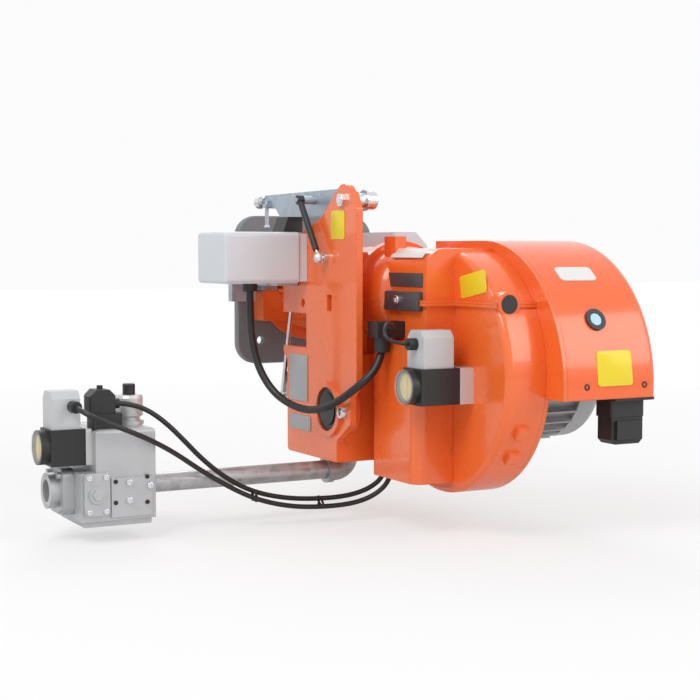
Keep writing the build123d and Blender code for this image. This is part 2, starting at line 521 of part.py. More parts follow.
socket_left, socket_right, socket_rear, socket_front = 150, 205, -612, -580
socket_split = HOOD_BOTTOM - 27
with BuildPart() as power_socket:
    block(socket_left - 5, socket_right + 4, HOOD_ARC_Y - HOOD_ARC_RADIUS + 3, -572, HOOD_BOTTOM - 4, HOOD_BOTTOM)
    block(socket_left, socket_right, socket_rear, socket_front, socket_split, HOOD_BOTTOM - 4)
    fillet(power_socket.edges().filter_by(Axis.Z).group_by(Axis.Y)[1], 3)
save(power_socket, "power_socket")

with BuildPart() as power_plug:
    block(socket_left + 2, socket_right - 2, socket_rear + 1, socket_front - 1, socket_split - 36, socket_split)
    block(socket_left + 8, socket_right - 8, socket_rear - 3, socket_rear + 1, socket_split - 30, socket_split - 5)
    chamfer(power_plug.faces().sort_by(Axis.Z)[0].edges().filter_by(Axis.Y), 6)
save(power_plug, "power_plug")

with BuildPart() as control_box:
    block(CONTROL_LEFT, CONTROL_RIGHT, CONTROL_REAR, CONTROL_FRONT, CONTROL_BOTTOM, CONTROL_TOP)
    chamfer(control_box.edges().filter_by(Axis.Y).group_by(Axis.Z)[-1].sort_by(Axis.X)[-1], 22)
    fillet(control_box.edges().filter_by(Axis.Z), 4)
save(control_box, "control_box")

# ---------------------------------------------------------------- servomotor and linkage

with BuildPart() as servo_housing:
    block(SERVO_LEFT, SERVO_RIGHT - 14, SERVO_REAR, SERVO_FRONT, SERVO_BOTTOM, SERVO_TOP)
    fillet(servo_housing.edges().filter_by(Axis.X), 7)
    fillet(servo_housing.faces().sort_by(Axis.X)[0].edges(), 5)
    block(SERVO_RIGHT - 14, SERVO_RIGHT, SERVO_REAR + 2, SERVO_FRONT - 2, SERVO_BOTTOM + 2, SERVO_TOP - 2)
    bar_x(DRIVE_RADIUS + FIT, SERVO_LEFT + 80, SERVO_RIGHT, DRIVE_Y, DRIVE_Z, mode=Mode.SUBTRACT)
save(servo_housing, "servo_housing")

terminal_left, terminal_right = -136, SERVO_RIGHT - 1
with BuildPart() as terminal_block:
    with BuildSketch(Plane.XZ.offset(176)):
        with BuildLine():
            Polyline(
                (terminal_left, SERVO_TOP), (terminal_left + 8, SERVO_TOP + 22), (terminal_right, SERVO_TOP + 22),
                (terminal_right, SERVO_TOP), close=True,
            )
        make_face()
    extrude(amount=38)
save(terminal_block, "terminal_block")

bracket_top = SERVO_BOTTOM
with BuildPart() as servo_bracket:
    block(-150, -66, -60, -24, bracket_top - 4, bracket_top)
    block(-150, SERVO_RIGHT - 2, -200, -60, bracket_top - 4, bracket_top)
    block(-92, -68, -50, -24, ear_top, bracket_top - 4)
    block(-150, -110, -60, -46, -16, bracket_top - 4)
    fillet(servo_bracket.edges().filter_by(Axis.Z).group_by(Axis.X)[0].sort_by(Axis.Y)[0], 12)
save(servo_bracket, "servo_bracket")


def lever(x, pivot, reach, angle, width):
    """A flat lever in a plane square to X, from its shaft to its pin."""
    mid_y = pivot[0] + reach / 2 * cos(radians(angle))
    mid_z = pivot[1] + reach / 2 * sin(radians(angle))
    with BuildSketch(Plane.YZ.offset(x)) as face:
        with Locations((mid_y, mid_z)):
            SlotCenterToCenter(reach, width, rotation=angle)
    extrude(face.sketch, amount=LEVER_THICK)


def crank_pin(pivot, reach, angle):
    """Where a crank's pin lies, as Y and Z."""
    return pivot[0] + reach * cos(radians(angle)), pivot[1] + reach * sin(radians(angle))


# Each link rod joins two equal, parallel cranks, so it moves without turning.
drive, butterfly, damper = (DRIVE_Y, DRIVE_Z), (BUTTERFLY_Y, BUTTERFLY_Z), (DAMPER_Y, DAMPER_Z)
gas_rod_x, air_rod_x = GAS_LEVER_X - GAP - ROD_THICK, AIR_LEVER_X + LEVER_THICK + GAP
gas_pins = [crank_pin(p, GAS_CRANK, GAS_CRANK_ANGLE) for p in (drive, butterfly)]
air_pins = [crank_pin(p, AIR_CRANK, AIR_CRANK_ANGLE) for p in (drive, damper)]


def gas_pin(pin):
    """A pin on a gas lever, out to the left through the rod."""
    bar_x(LINK_PIN_RADIUS, gas_rod_x - 0.8, GAS_LEVER_X, *pin)


def air_pin(pin):
    """A pin on an air lever, out to the right through the rod."""
    bar_x(LINK_PIN_RADIUS, AIR_LEVER_X + LEVER_THICK, air_rod_x + ROD_THICK + 1, *pin)


with BuildPart() as servo_drive:
    bar_x(DRIVE_RADIUS, SERVO_LEFT + 84, AIR_LEVER_X + LEVER_THICK, DRIVE_Y, DRIVE_Z)
    lever(GAS_LEVER_X, drive, GAS_CRANK, GAS_CRANK_ANGLE, 14)
    lever(AIR_LEVER_X, drive, AIR_CRANK, AIR_CRANK_ANGLE, 14)
    gas_pin(gas_pins[0])
    air_pin(air_pins[0])
save(servo_drive, "servo_drive")


def link_rod(x, pins, width):
    """A flat rod with an eye at each pin."""
    (y0, z0), (y1, z1) = pins
    length, angle = sqrt((y1 - y0) ** 2 + (z1 - z0) ** 2), degrees(atan2(z1 - z0, y1 - y0))
    with BuildSketch(Plane.YZ.offset(x)) as face:
        with Locations(((y0 + y1) / 2, (z0 + z1) / 2)):
            SlotCenterToCenter(length, width, rotation=angle)
        with Locations(*pins):
            Circle(2 * LINK_PIN_RADIUS)
            Circle(LINK_PIN_RADIUS + FIT, mode=Mode.SUBTRACT)
    extrude(face.sketch, amount=ROD_THICK)


with BuildPart() as gas_link_rod:
    link_rod(gas_rod_x, gas_pins, 7)
save(gas_link_rod, "gas_link_rod")

with BuildPart() as air_link_rod:
    link_rod(air_rod_x, air_pins, 7)
save(air_link_rod, "air_link_rod")

with BuildPart() as air_damper:
    bar_x(LEVER_SHAFT_RADIUS, AIR_LEVER_X, DUCT_RADIUS, DAMPER_Y, DAMPER_Z)
    bar_y(DUCT_RADIUS - DUCT_WALL - GAP, DAMPER_Y - 1.5, DAMPER_Y + 1.5, 0, DAMPER_Z)
    lever(AIR_LEVER_X, damper, AIR_CRANK, AIR_CRANK_ANGLE, 12)
    air_pin(air_pins[1])
save(air_damper, "air_damper")

# Gas butterfly: a round body in front of the gas box, with a branch that rises to the neck's port.
body_front, branch_radius = GAS_PORT_Y + 13, 13
with BuildPart() as butterfly_body:
    bar_y(BUTTERFLY_BORE + 8, NECK_REAR, body_front, BUTTERFLY_X, BUTTERFLY_Z)
    bar_y(BUTTERFLY_BORE + 13, NECK_REAR, NECK_REAR + 7, BUTTERFLY_X, BUTTERFLY_Z)
    bar_x(9, BUTTERFLY_X - 30, BUTTERFLY_X, BUTTERFLY_Y, BUTTERFLY_Z)
    bar_x(branch_radius, BUTTERFLY_X, 0, GAS_PORT_Y, BUTTERFLY_Z)
    with Locations((0, GAS_PORT_Y, BUTTERFLY_Z)):
        Sphere(branch_radius)
    bar_z(branch_radius, BUTTERFLY_Z, port_bottom, 0, GAS_PORT_Y)
    bar_z(16, port_bottom - 5, port_bottom, 0, GAS_PORT_Y)
    bar_y(BUTTERFLY_BORE, NECK_REAR, body_front - 6, BUTTERFLY_X, BUTTERFLY_Z, mode=Mode.SUBTRACT)
    bar_x(8, BUTTERFLY_X, 0, GAS_PORT_Y, BUTTERFLY_Z, mode=Mode.SUBTRACT)
    bar_z(8, BUTTERFLY_Z, port_bottom, 0, GAS_PORT_Y, mode=Mode.SUBTRACT)
    shaft_end = BUTTERFLY_X + BUTTERFLY_BORE + 4
    bar_x(LEVER_SHAFT_RADIUS + FIT, BUTTERFLY_X - 30, shaft_end, BUTTERFLY_Y, BUTTERFLY_Z, mode=Mode.SUBTRACT)
save(butterfly_body, "butterfly_body")

with BuildPart() as butterfly_disc:
    bar_x(LEVER_SHAFT_RADIUS, GAS_LEVER_X, shaft_end - GAP, BUTTERFLY_Y, BUTTERFLY_Z)
    bar_y(BUTTERFLY_BORE - GAP, BUTTERFLY_Y - 1.2, BUTTERFLY_Y + 1.2, BUTTERFLY_X, BUTTERFLY_Z)
    lever(GAS_LEVER_X, butterfly, GAS_CRANK, GAS_CRANK_ANGLE, 12)
    gas_pin(gas_pins[1])
save(butterfly_disc, "butterfly_disc")
# ---------------------------------------------------------------- opening arm and gas strut

arm_left = plate_back + GAP
arm_right = arm_left + ARM_THICK
catch_x, catch_ball, catch_z = arm_left - 4, 5, 98
strut_dir = Vector(0, STRUT_FOOT_Y - STRUT_TOP_Y, STRUT_FOOT_Z - STRUT_TOP_Z)
strut_length = strut_dir.length
strut_plane = Plane(origin=(STRUT_X, STRUT_TOP_Y, STRUT_TOP_Z), x_dir=(1, 0, 0), z_dir=strut_dir.normalized())
strut_eye, strut_pin = 7, 3

# The plate hangs on the pivot bolt. Its front end carries the ball-ended catch pin, its middle the strut's stud.
with BuildPart() as arm:
    with BuildSketch(Plane.YZ.offset(arm_left)) as arm_outline:
        with BuildLine():
            Polyline(
                (PIVOT_Y, PIVOT_Z + 17),
                (ARM_FRONT, ARM_TOP),
                (ARM_FRONT, ARM_TOP - 19),
                (-98, 126),
                (-114, 113),
                (-232, 111),
                (PIVOT_Y, PIVOT_Z - 17),
                close=True,
            )
        make_face()
        fillet(arm_outline.vertices().sort_by(Axis.Y)[2:], 4)
        with Locations((PIVOT_Y, PIVOT_Z)):
            Circle(17)
            Circle(PIVOT_RADIUS + FIT, mode=Mode.SUBTRACT)
    extrude(amount=ARM_THICK)
    block(catch_x - 4, arm_left, CATCH_Y - 6, CATCH_Y + 6, 128, 134)
    bar_z(3, catch_z, 139, catch_x, CATCH_Y)
    with Locations((catch_x, CATCH_Y, catch_z)):
        Sphere(catch_ball)
    bar_y(3, ARM_FRONT - 2, ARM_FRONT + 16, (arm_left + arm_right) / 2, ARM_TOP - 10)
    bar_x(6, STRUT_X + 5, arm_left, STRUT_TOP_Y, STRUT_TOP_Z)
    bar_x(strut_pin, STRUT_X - 6, STRUT_X + 5, STRUT_TOP_Y, STRUT_TOP_Z)
save(arm, "arm")

with BuildPart() as arm_knob:
    knob_x, knob_z = (arm_left + arm_right) / 2, ARM_TOP - 10
    bar_y(7, ARM_FRONT + GAP, ARM_FRONT + 6, knob_x, knob_z)
    bar_y(10, ARM_FRONT + 6, ARM_FRONT + 23, knob_x, knob_z)
    fillet(arm_knob.edges().filter_by(GeomType.CIRCLE).sort_by(Axis.Y)[-1], 2)
    bar_y(3 + FIT, ARM_FRONT, ARM_FRONT + 17, knob_x, knob_z, mode=Mode.SUBTRACT)
save(arm_knob, "arm_knob")

# Pivot bolt with its spacer, washer and head, and the strut's lower ball stud on the side plate.
with BuildPart() as hinge_bolts:
    bar_x(PIVOT_RADIUS, PLATE_X - 7, -54, PIVOT_Y, PIVOT_Z)
    with BuildSketch(Plane.YZ.offset(PLATE_X - 6)):
        with Locations((PIVOT_Y, PIVOT_Z)):
            RegularPolygon(10, 6)
    extrude(amount=6)
    bar_x(10, arm_right + GAP, -72, PIVOT_Y, PIVOT_Z)
    bar_x(15, -72, -69, PIVOT_Y, PIVOT_Z)
    bar_x(13, -69, -54, PIVOT_Y, PIVOT_Z)
    fillet(hinge_bolts.edges().filter_by(GeomType.CIRCLE).sort_by(Axis.X)[-1], 3)
    stud_neck = 2.5
    with BuildSketch(Plane.XY.offset(STRUT_FOOT_Z)):
        with BuildLine():
            ball_end = STRUT_X + sqrt(STRUT_BALL**2 - stud_neck**2)
            ThreePointArc(
                (STRUT_X - STRUT_BALL, STRUT_FOOT_Y), (STRUT_X, STRUT_FOOT_Y + STRUT_BALL),
                (ball_end, STRUT_FOOT_Y + stud_neck),
            )
            Polyline(
                (ball_end, STRUT_FOOT_Y + stud_neck), (PLATE_X - 7, STRUT_FOOT_Y + stud_neck),
                (PLATE_X - 7, STRUT_FOOT_Y + 7), (PLATE_X, STRUT_FOOT_Y + 7), (PLATE_X, STRUT_FOOT_Y),
                (STRUT_X - STRUT_BALL, STRUT_FOOT_Y),
            )
        make_face()
    revolve(axis=Axis((STRUT_X, STRUT_FOOT_Y, STRUT_FOOT_Z), (1, 0, 0)))
save(hinge_bolts, "hinge_bolts")

with BuildPart() as strut_cylinder:
    bar_x(strut_eye, STRUT_X - 4, STRUT_X + 4, STRUT_TOP_Y, STRUT_TOP_Z)
    disc_on(strut_plane, STRUT_RADIUS, 4, strut_length - 14)
    bar_x(strut_pin + FIT, STRUT_X - 4, STRUT_X + 4, STRUT_TOP_Y, STRUT_TOP_Z, mode=Mode.SUBTRACT)
    disc_on(strut_plane, STRUT_ROD_RADIUS + FIT, 14, strut_length, mode=Mode.SUBTRACT)
save(strut_cylinder, "strut_cylinder")

socket_bore, socket_radius, socket_lip = STRUT_BALL + STRUT_PLAY, STRUT_BALL + STRUT_PLAY + 2, 2
with BuildPart() as strut_rod:
    with BuildSketch(Plane.XY.offset(STRUT_FOOT_Z)):
        with BuildLine():
            lip_x = STRUT_X + socket_lip
            outer_y = STRUT_FOOT_Y + sqrt(socket_radius**2 - socket_lip**2)
            inner_y = STRUT_FOOT_Y + sqrt(socket_bore**2 - socket_lip**2)
            ThreePointArc(
                (STRUT_X - socket_radius, STRUT_FOOT_Y), (STRUT_X, STRUT_FOOT_Y + socket_radius), (lip_x, outer_y)
            )
            Line((lip_x, outer_y), (lip_x, inner_y))
            ThreePointArc(
                (lip_x, inner_y), (STRUT_X, STRUT_FOOT_Y + socket_bore), (STRUT_X - socket_bore, STRUT_FOOT_Y)
            )
            Line((STRUT_X - socket_bore, STRUT_FOOT_Y), (STRUT_X - socket_radius, STRUT_FOOT_Y))
        make_face()
    revolve(axis=Axis((STRUT_X, STRUT_FOOT_Y, STRUT_FOOT_Z), (1, 0, 0)))
    disc_on(strut_plane, STRUT_ROD_RADIUS, 24, strut_length - socket_bore - 0.5)
save(strut_rod, "strut_rod")

with BuildPart() as flange_bracket:
    block(-114, -84, CATCH_Y - 14, -FLANGE_THICK, 82, catch_z - catch_ball - 1)
    block(-114, -110, CATCH_Y + 10, -FLANGE_THICK, 68, 84)
    bar_z(9, 84, catch_z - 1, catch_x, CATCH_Y)
    with Locations((catch_x, CATCH_Y, catch_z)):
        Sphere(catch_ball + GAP, mode=Mode.SUBTRACT)
save(flange_bracket, "flange_bracket")

# ---------------------------------------------------------------- gas train

# Malleable elbow: a union nut under the gas box, a quarter bend and a collar that takes the pipe.
bend = 20
elbow_radius, collar_radius = PIPE_RADIUS + 3.5, PIPE_RADIUS + 6
elbow_left, pipe_end = PIPE_X - bend - 16, PIPE_X - bend - 6
with BuildPart() as gas_elbow:
    bar_z(collar_radius, BOX_BOTTOM - 8, BOX_BOTTOM, PIPE_X, PIPE_Y)
    bar_z(elbow_radius, PIPE_Z + bend, BOX_BOTTOM, PIPE_X, PIPE_Y)
    with BuildSketch(Plane.XY.offset(PIPE_Z + bend)):
        with Locations((PIPE_X, PIPE_Y)):
            Circle(elbow_radius)
    revolve(axis=Axis((PIPE_X - bend, PIPE_Y, PIPE_Z + bend), (0, 1, 0)), revolution_arc=90)
    bar_x(elbow_radius, elbow_left, PIPE_X - bend, PIPE_Y, PIPE_Z)
    bar_x(collar_radius, elbow_left, elbow_left + 10, PIPE_Y, PIPE_Z)
    bar_x(PIPE_RADIUS + FIT, elbow_left, pipe_end, PIPE_Y, PIPE_Z, mode=Mode.SUBTRACT)
    bar_x(PIPE_RADIUS - PIPE_WALL, elbow_left, PIPE_X - bend, PIPE_Y, PIPE_Z, mode=Mode.SUBTRACT)
    bar_z(PIPE_RADIUS - PIPE_WALL, PIPE_Z + bend, BOX_BOTTOM, PIPE_X, PIPE_Y, mode=Mode.SUBTRACT)
    with BuildSketch(Plane.XY.offset(PIPE_Z + bend)):
        with Locations((PIPE_X, PIPE_Y)):
            Circle(PIPE_RADIUS - PIPE_WALL)
    revolve(
        axis=Axis((PIPE_X - bend, PIPE_Y, PIPE_Z + bend), (0, 1, 0)), revolution_arc=90, mode=Mode.SUBTRACT
    )
save(gas_elbow, "gas_elbow")

outlet_right = VALVE_RIGHT + 16
with BuildPart() as gas_pipe:
    bar_x(PIPE_RADIUS, VALVE_RIGHT + 6, pipe_end, PIPE_Y, PIPE_Z)
    bar_x(PIPE_RADIUS - PIPE_WALL, VALVE_RIGHT + 6, pipe_end, PIPE_Y, PIPE_Z, mode=Mode.SUBTRACT)
save(gas_pipe, "gas_pipe")

inlet_left = VALVE_LEFT - 30
with BuildPart() as valve_flanges:
    with BuildSketch(Plane.YZ.offset(inlet_left + 14)):
        with Locations((PIPE_Y, PIPE_Z)):
            RectangleRounded(62, 62, 12)
    extrude(amount=16)
    bar_x(24, inlet_left, inlet_left + 14, PIPE_Y, PIPE_Z)
    for angle in (45, 135, 225, 315):
        bar_x(4.5, inlet_left + 8, inlet_left + 14, PIPE_Y + 32 * cos(radians(angle)),
              PIPE_Z + 32 * sin(radians(angle)))
    bar_x(15.15, inlet_left, VALVE_LEFT, PIPE_Y, PIPE_Z, mode=Mode.SUBTRACT)
    with BuildSketch(Plane.YZ.offset(VALVE_RIGHT)):
        with Locations((PIPE_Y, PIPE_Z)):
            RegularPolygon(33, 8, rotation=22.5)
    extrude(amount=9)
    bar_x(19, VALVE_RIGHT, outlet_right, PIPE_Y, PIPE_Z)
    bar_x(PIPE_RADIUS + FIT, VALVE_RIGHT + 6, outlet_right, PIPE_Y, PIPE_Z, mode=Mode.SUBTRACT)
    bar_x(PIPE_RADIUS - PIPE_WALL, VALVE_RIGHT, VALVE_RIGHT + 6, PIPE_Y, PIPE_Z, mode=Mode.SUBTRACT)
save(valve_flanges, "valve_flanges")

# Valve body: a stepped die casting with an inlet and an outlet bore that end at the seat between them.
with BuildPart() as valve_body:
    block(VALVE_LEFT, VALVE_RIGHT, VALVE_FRONT, VALVE_REAR, VALVE_BOTTOM + 8, VALVE_STEP)
    block(VALVE_COIL_LEFT, VALVE_RIGHT, VALVE_FRONT, VALVE_REAR, VALVE_STEP - 1, VALVE_TOP)
    fillet(valve_body.faces().sort_by(Axis.Z)[-1].edges(), 6)
    block(VALVE_LEFT + 6, VALVE_RIGHT - 4, VALVE_FRONT + 6, VALVE_REAR - 6, VALVE_BOTTOM, VALVE_BOTTOM + 8)
    block(VALVE_LEFT + 40, VALVE_RIGHT - 6, VALVE_FRONT - 3, VALVE_FRONT, VALVE_BOTTOM + 12, VALVE_STEP - 8)
    bar_x(VALVE_BORE, VALVE_LEFT, VALVE_LEFT + 36, PIPE_Y, PIPE_Z, mode=Mode.SUBTRACT)
    bar_x(VALVE_BORE - 2, VALVE_RIGHT - 36, VALVE_RIGHT, PIPE_Y, PIPE_Z, mode=Mode.SUBTRACT)
save(valve_body, "valve_body")

cover_left, cover_right, cover_low, cover_high = VALVE_LEFT + 3, VALVE_LEFT + 38, VALVE_STEP - 57, VALVE_STEP
with BuildPart() as valve_side_cover:
    block(cover_left, cover_right, VALVE_FRONT - 5, VALVE_FRONT, cover_low, cover_high)
    fillet(valve_side_cover.edges().filter_by(Axis.Y), 4)
    cover_x, cover_z = (cover_left + cover_right) / 2, (cover_low + cover_high) / 2
    bar_y(12, VALVE_FRONT - 8, VALVE_FRONT - 5, cover_x, cover_z)
    with BuildSketch(Plane.XZ.offset(-VALVE_FRONT + 8)):
        with Locations((cover_x, cover_z)):
            RegularPolygon(8, 6)
    extrude(amount=2)
save(valve_side_cover, "valve_side_cover")

coil_left, coil_right, coil_front, coil_rear = VALVE_COIL_LEFT + 1, -408, COIL_Y - 16, COIL_Y + 16
coil_top = VALVE_TOP + 20
with BuildPart() as coil_box:
    block(coil_left, coil_right, coil_front, coil_rear, VALVE_TOP, coil_top)
    fillet(coil_box.edges().filter_by(Axis.Z), 5)
save(coil_box, "coil_box")

plug_left, plug_right = coil_left - 4, coil_right - 9
with BuildPart() as coil_plug:
    block(plug_left, plug_right, coil_front + 2, coil_rear - 2, coil_top, coil_top + 32)
    chamfer(coil_plug.edges().filter_by(Axis.Y).group_by(Axis.Z)[-1], 9)
    fillet(coil_plug.edges().filter_by(Axis.Z), 3)
    bar_x(7, plug_right, plug_right + 8, COIL_Y, coil_top + 12)
    bar_z(4, coil_top + 32, coil_top + 37, (plug_left + plug_right) / 2, COIL_Y)
save(coil_plug, "coil_plug")

governor_x, governor_y = -384, -245
with BuildPart() as governor:
    bar_z(20, VALVE_TOP, VALVE_TOP + 5, governor_x, governor_y)
    with BuildSketch(Plane.XZ.offset(-governor_y)):
        with BuildLine():
            Polyline(
                (governor_x, VALVE_TOP + 5), (governor_x + 15, VALVE_TOP + 5), (governor_x + 15, VALVE_TOP + 10),
                (governor_x + 19, VALVE_TOP + 12), (governor_x + 19, VALVE_TOP + 36),
                (governor_x + 17, VALVE_TOP + 40), (governor_x, VALVE_TOP + 40), close=True,
            )
        make_face()
    revolve(axis=Axis((governor_x, governor_y, 0), (0, 0, 1)))
    bar_z(3, VALVE_TOP + 40, VALVE_TOP + 50, governor_x, governor_y)
save(governor, "governor")

with BuildPart() as governor_knob:
    bar_z(8.5, VALVE_TOP + 40 + GAP, VALVE_TOP + 55, governor_x, governor_y)
    fillet(governor_knob.faces().sort_by(Axis.Z)[-1].edges(), 1.5)
    bar_z(3 + FIT, VALVE_TOP + 40, VALVE_TOP + 51, governor_x, governor_y, mode=Mode.SUBTRACT)
save(governor_knob, "governor_knob")
# ---------------------------------------------------------------- pressure switches

# Each switch stands on edge: a seat plate on its right, then the body, then the dial that faces left.
AIR_SWITCH = (-21, -488, -116)
GAS_SWITCH = (VALVE_COIL_LEFT - 8, -260, -196)
dial_radius = 18


def switch_plate(right, y, z, thick):
    """The steel plate a switch is seated on."""
    deep, high = SWITCH_DEPTH / 2, SWITCH_HEIGHT / 2
    block(right, right + thick, y - deep, y + deep, z - high, z + high)


def switch_body(right, y, z, length):
    """The black body with a round collar that the dial turns in."""
    half = SWITCH_DEPTH / 2 - 1
    block(right - length, right, y - half, y + half, z - SWITCH_HEIGHT / 2, z + SWITCH_HEIGHT / 2)
    bar_x(dial_radius + 5, right - length - 12, right - length, y, z)
    bar_x(dial_radius + 1, right - length - 12, right - length - 3, y, z, mode=Mode.SUBTRACT)
    bar_x(3 + FIT, right - length - 3, right - length + 6, y, z, mode=Mode.SUBTRACT)


def switch_dial(right, y, z, length):
    """The setting dial on its short stub."""
    bar_x(dial_radius, right - length - 8, right - length - 4, y, z)
    bar_x(3, right - length - 4, right - length + 5, y, z)
    block(right - length - 11, right - length - 8, y - 3, y + 3, z - 14, z + 14)


def switch_plug(left, right, y, low, high):
    """The plug on top of a switch, bevelled along its upper edges."""
    with BuildSketch(Plane.YZ.offset(left)) as form:
        with BuildLine():
            Polyline(
                (y - 21, low), (y + 21, low), (y + 21, high - 10), (y + 13, high), (y - 13, high),
                (y - 21, high - 10), close=True,
            )
        make_face()
    extrude(form.sketch, amount=right - left)


air_length, gas_length = 59, 47
with BuildPart() as switch_plates:
    switch_plate(*AIR_SWITCH, DRUM_LEFT - AIR_SWITCH[0])
    switch_plate(*GAS_SWITCH, 8)
save(switch_plates, "switch_plates")

with BuildPart() as air_switch_body:
    switch_body(*AIR_SWITCH, air_length)
save(air_switch_body, "air_switch_body")

with BuildPart() as gas_switch_body:
    switch_body(*GAS_SWITCH, gas_length)
save(gas_switch_body, "gas_switch_body")

with BuildPart() as air_switch_dial:
    switch_dial(*AIR_SWITCH, air_length)
save(air_switch_dial, "air_switch_dial")

with BuildPart() as gas_switch_dial:
    switch_dial(*GAS_SWITCH, gas_length)
save(gas_switch_dial, "gas_switch_dial")

with BuildPart() as switch_covers:
    for (right, y, z), length in ((AIR_SWITCH, air_length), (GAS_SWITCH, gas_length)):
        bar_x(dial_radius + 5, right - length - 13.5, right - length - 12, y, z)
save(switch_covers, "switch_covers")

air_plug_left, air_plug_right = AIR_SWITCH[0] - 54, AIR_SWITCH[0] - 8
gas_plug_left, gas_plug_right = GAS_SWITCH[0] - 44, GAS_SWITCH[0] - 6
air_plug_low, gas_plug_low = AIR_SWITCH[2] + SWITCH_HEIGHT / 2, GAS_SWITCH[2] + SWITCH_HEIGHT / 2
with BuildPart() as switch_plugs:
    switch_plug(air_plug_left, air_plug_right, AIR_SWITCH[1], air_plug_low, air_plug_low + 50)
    switch_plug(gas_plug_left, gas_plug_right, GAS_SWITCH[1], gas_plug_low, gas_plug_low + 50)
save(switch_plugs, "switch_plugs")

# ---------------------------------------------------------------- glands and cords

conduit_x, conduit_y = -74, -395
servo_x, servo_y = -174, -180
cable_x, first_cable_y, second_cable_y, boss_z = -12, -322, -306, -222
air_gland_z, gas_gland_x, gas_gland_z = air_plug_low + 32, GAS_SWITCH[0] - 16, gas_plug_low + 30
with BuildPart() as cable_glands:
    block(-88, DOME_LEFT, conduit_y - 14, conduit_y + 14, -56, -34)
    bar_z(11, -76, -56, conduit_x, conduit_y)
    bar_z(11, 3, SERVO_BOTTOM, servo_x, servo_y)
    bar_z(7, boss_z - 14, boss_z, cable_x, first_cable_y)
    bar_z(7, boss_z - 14, boss_z, cable_x, second_cable_y)
    bar_x(8, air_plug_left - 12, air_plug_left, AIR_SWITCH[1], air_gland_z)
    bar_y(8, GAS_SWITCH[1] - 36, GAS_SWITCH[1] - 21, gas_gland_x, gas_gland_z)
    bar_y(5, conduit_y - 22, conduit_y - 14, conduit_x, -45)
save(cable_glands, "cable_glands")


def cord(name, radius, points):
    """A round cord with straight runs and tangent arcs, as large as the shorter run at each turn allows."""
    runs = [Vector(*b) - Vector(*a) for a, b in zip(points, points[1:])]
    radii = []
    for first, second in zip(runs, runs[1:]):
        turn = radians(first.get_angle(second))
        radii.append(0.45 * min(first.length, second.length) / tan(turn / 2))
    with BuildPart() as tube:
        with BuildLine() as route:
            FilletPolyline(*points, radius=radii)
        line = route.line
        with BuildSketch(Plane(line @ 0, z_dir=line % 0)):
            Circle(radius)
        sweep()
    length = sum(edge.length for edge in line.edges())
    share = tube.part.volume / (pi * radius**2 * length)
    print(name, "length", round(length), "radii", [round(r) for r in radii], "volume share", round(share, 4))
    save(tube, name)


cord("servo_conduit", CONDUIT_RADIUS, [
    (servo_x, servo_y, 3), (-175, -182, -34), (-174, -187, -72), (-168, -198, -110), (-156, -218, -141),
    (-143, -247, -158), (-133, -282, -164), (-126, -318, -159), (-119, -352, -146), (-112, -384, -128),
    (-98, -397, -112), (-82, -398, -96), (conduit_x, conduit_y, -76),
])
cord("air_switch_cable", SWITCH_CABLE_RADIUS, [
    (conduit_x, conduit_y - 22, -45), (-76, -431, -43), (-85, -446, -37), (-98, -459, -32),
    (-111, -470, -36), (-118, -480, -46), (-113, -487, -56), (air_plug_left - 12, AIR_SWITCH[1], air_gland_z),
])
cord("coil_cable", CABLE_RADIUS, [
    (plug_right + 8, COIL_Y, coil_top + 12), (-388, COIL_Y, -144), (-365, -275, -154), (-341, -275, -172),
    (-317, -276, -196), (-290, -275, -224), (-256, -275, -252), (-215, -275, -275), (-165, -277, -288),
    (-115, -282, -292), (-70, -290, -290), (-38, -298, -280), (-18, -304, -262),
    (cable_x, second_cable_y, boss_z - 14),
])
cord("gas_switch_cable", CABLE_RADIUS, [
    (gas_gland_x, GAS_SWITCH[1] - 36, gas_gland_z), (-472, -310, -145), (-462, -322, -152), (-440, -328, -162),
    (-410, -324, -174), (-375, -312, -190), (-340, -300, -209), (-300, -291, -236), (-258, -287, -262),
    (-215, -286, -284), (-165, -288, -298), (-115, -294, -302), (-66, -304, -299), (-34, -313, -286),
    (-16, -320, -264), (cable_x, first_cable_y, boss_z - 14),
])
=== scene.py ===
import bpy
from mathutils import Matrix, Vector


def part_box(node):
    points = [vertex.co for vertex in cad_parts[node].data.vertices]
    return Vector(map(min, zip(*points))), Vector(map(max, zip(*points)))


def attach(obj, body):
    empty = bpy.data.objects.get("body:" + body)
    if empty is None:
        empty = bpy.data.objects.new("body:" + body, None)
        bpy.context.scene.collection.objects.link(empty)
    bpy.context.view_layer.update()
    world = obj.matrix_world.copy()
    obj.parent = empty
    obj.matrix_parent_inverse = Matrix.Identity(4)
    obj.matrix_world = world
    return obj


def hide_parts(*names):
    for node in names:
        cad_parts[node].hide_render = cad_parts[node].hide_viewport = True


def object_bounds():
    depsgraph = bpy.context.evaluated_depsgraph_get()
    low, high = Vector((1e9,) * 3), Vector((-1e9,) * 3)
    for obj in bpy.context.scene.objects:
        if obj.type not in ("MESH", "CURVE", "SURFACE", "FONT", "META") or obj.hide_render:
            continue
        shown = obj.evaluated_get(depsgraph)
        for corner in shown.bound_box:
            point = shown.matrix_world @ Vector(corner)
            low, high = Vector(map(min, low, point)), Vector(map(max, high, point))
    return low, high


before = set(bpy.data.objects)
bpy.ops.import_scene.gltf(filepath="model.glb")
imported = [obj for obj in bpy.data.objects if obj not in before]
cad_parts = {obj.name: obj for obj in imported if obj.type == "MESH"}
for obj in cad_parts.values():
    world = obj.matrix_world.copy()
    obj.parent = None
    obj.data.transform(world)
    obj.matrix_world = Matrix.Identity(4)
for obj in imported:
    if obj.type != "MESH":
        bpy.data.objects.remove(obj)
cad_box = [[float(value) for value in corner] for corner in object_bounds()]

from math import asin, atan, cos, radians, sin

import bmesh
import bpy
from mathutils import Matrix, Vector

scene = bpy.context.scene

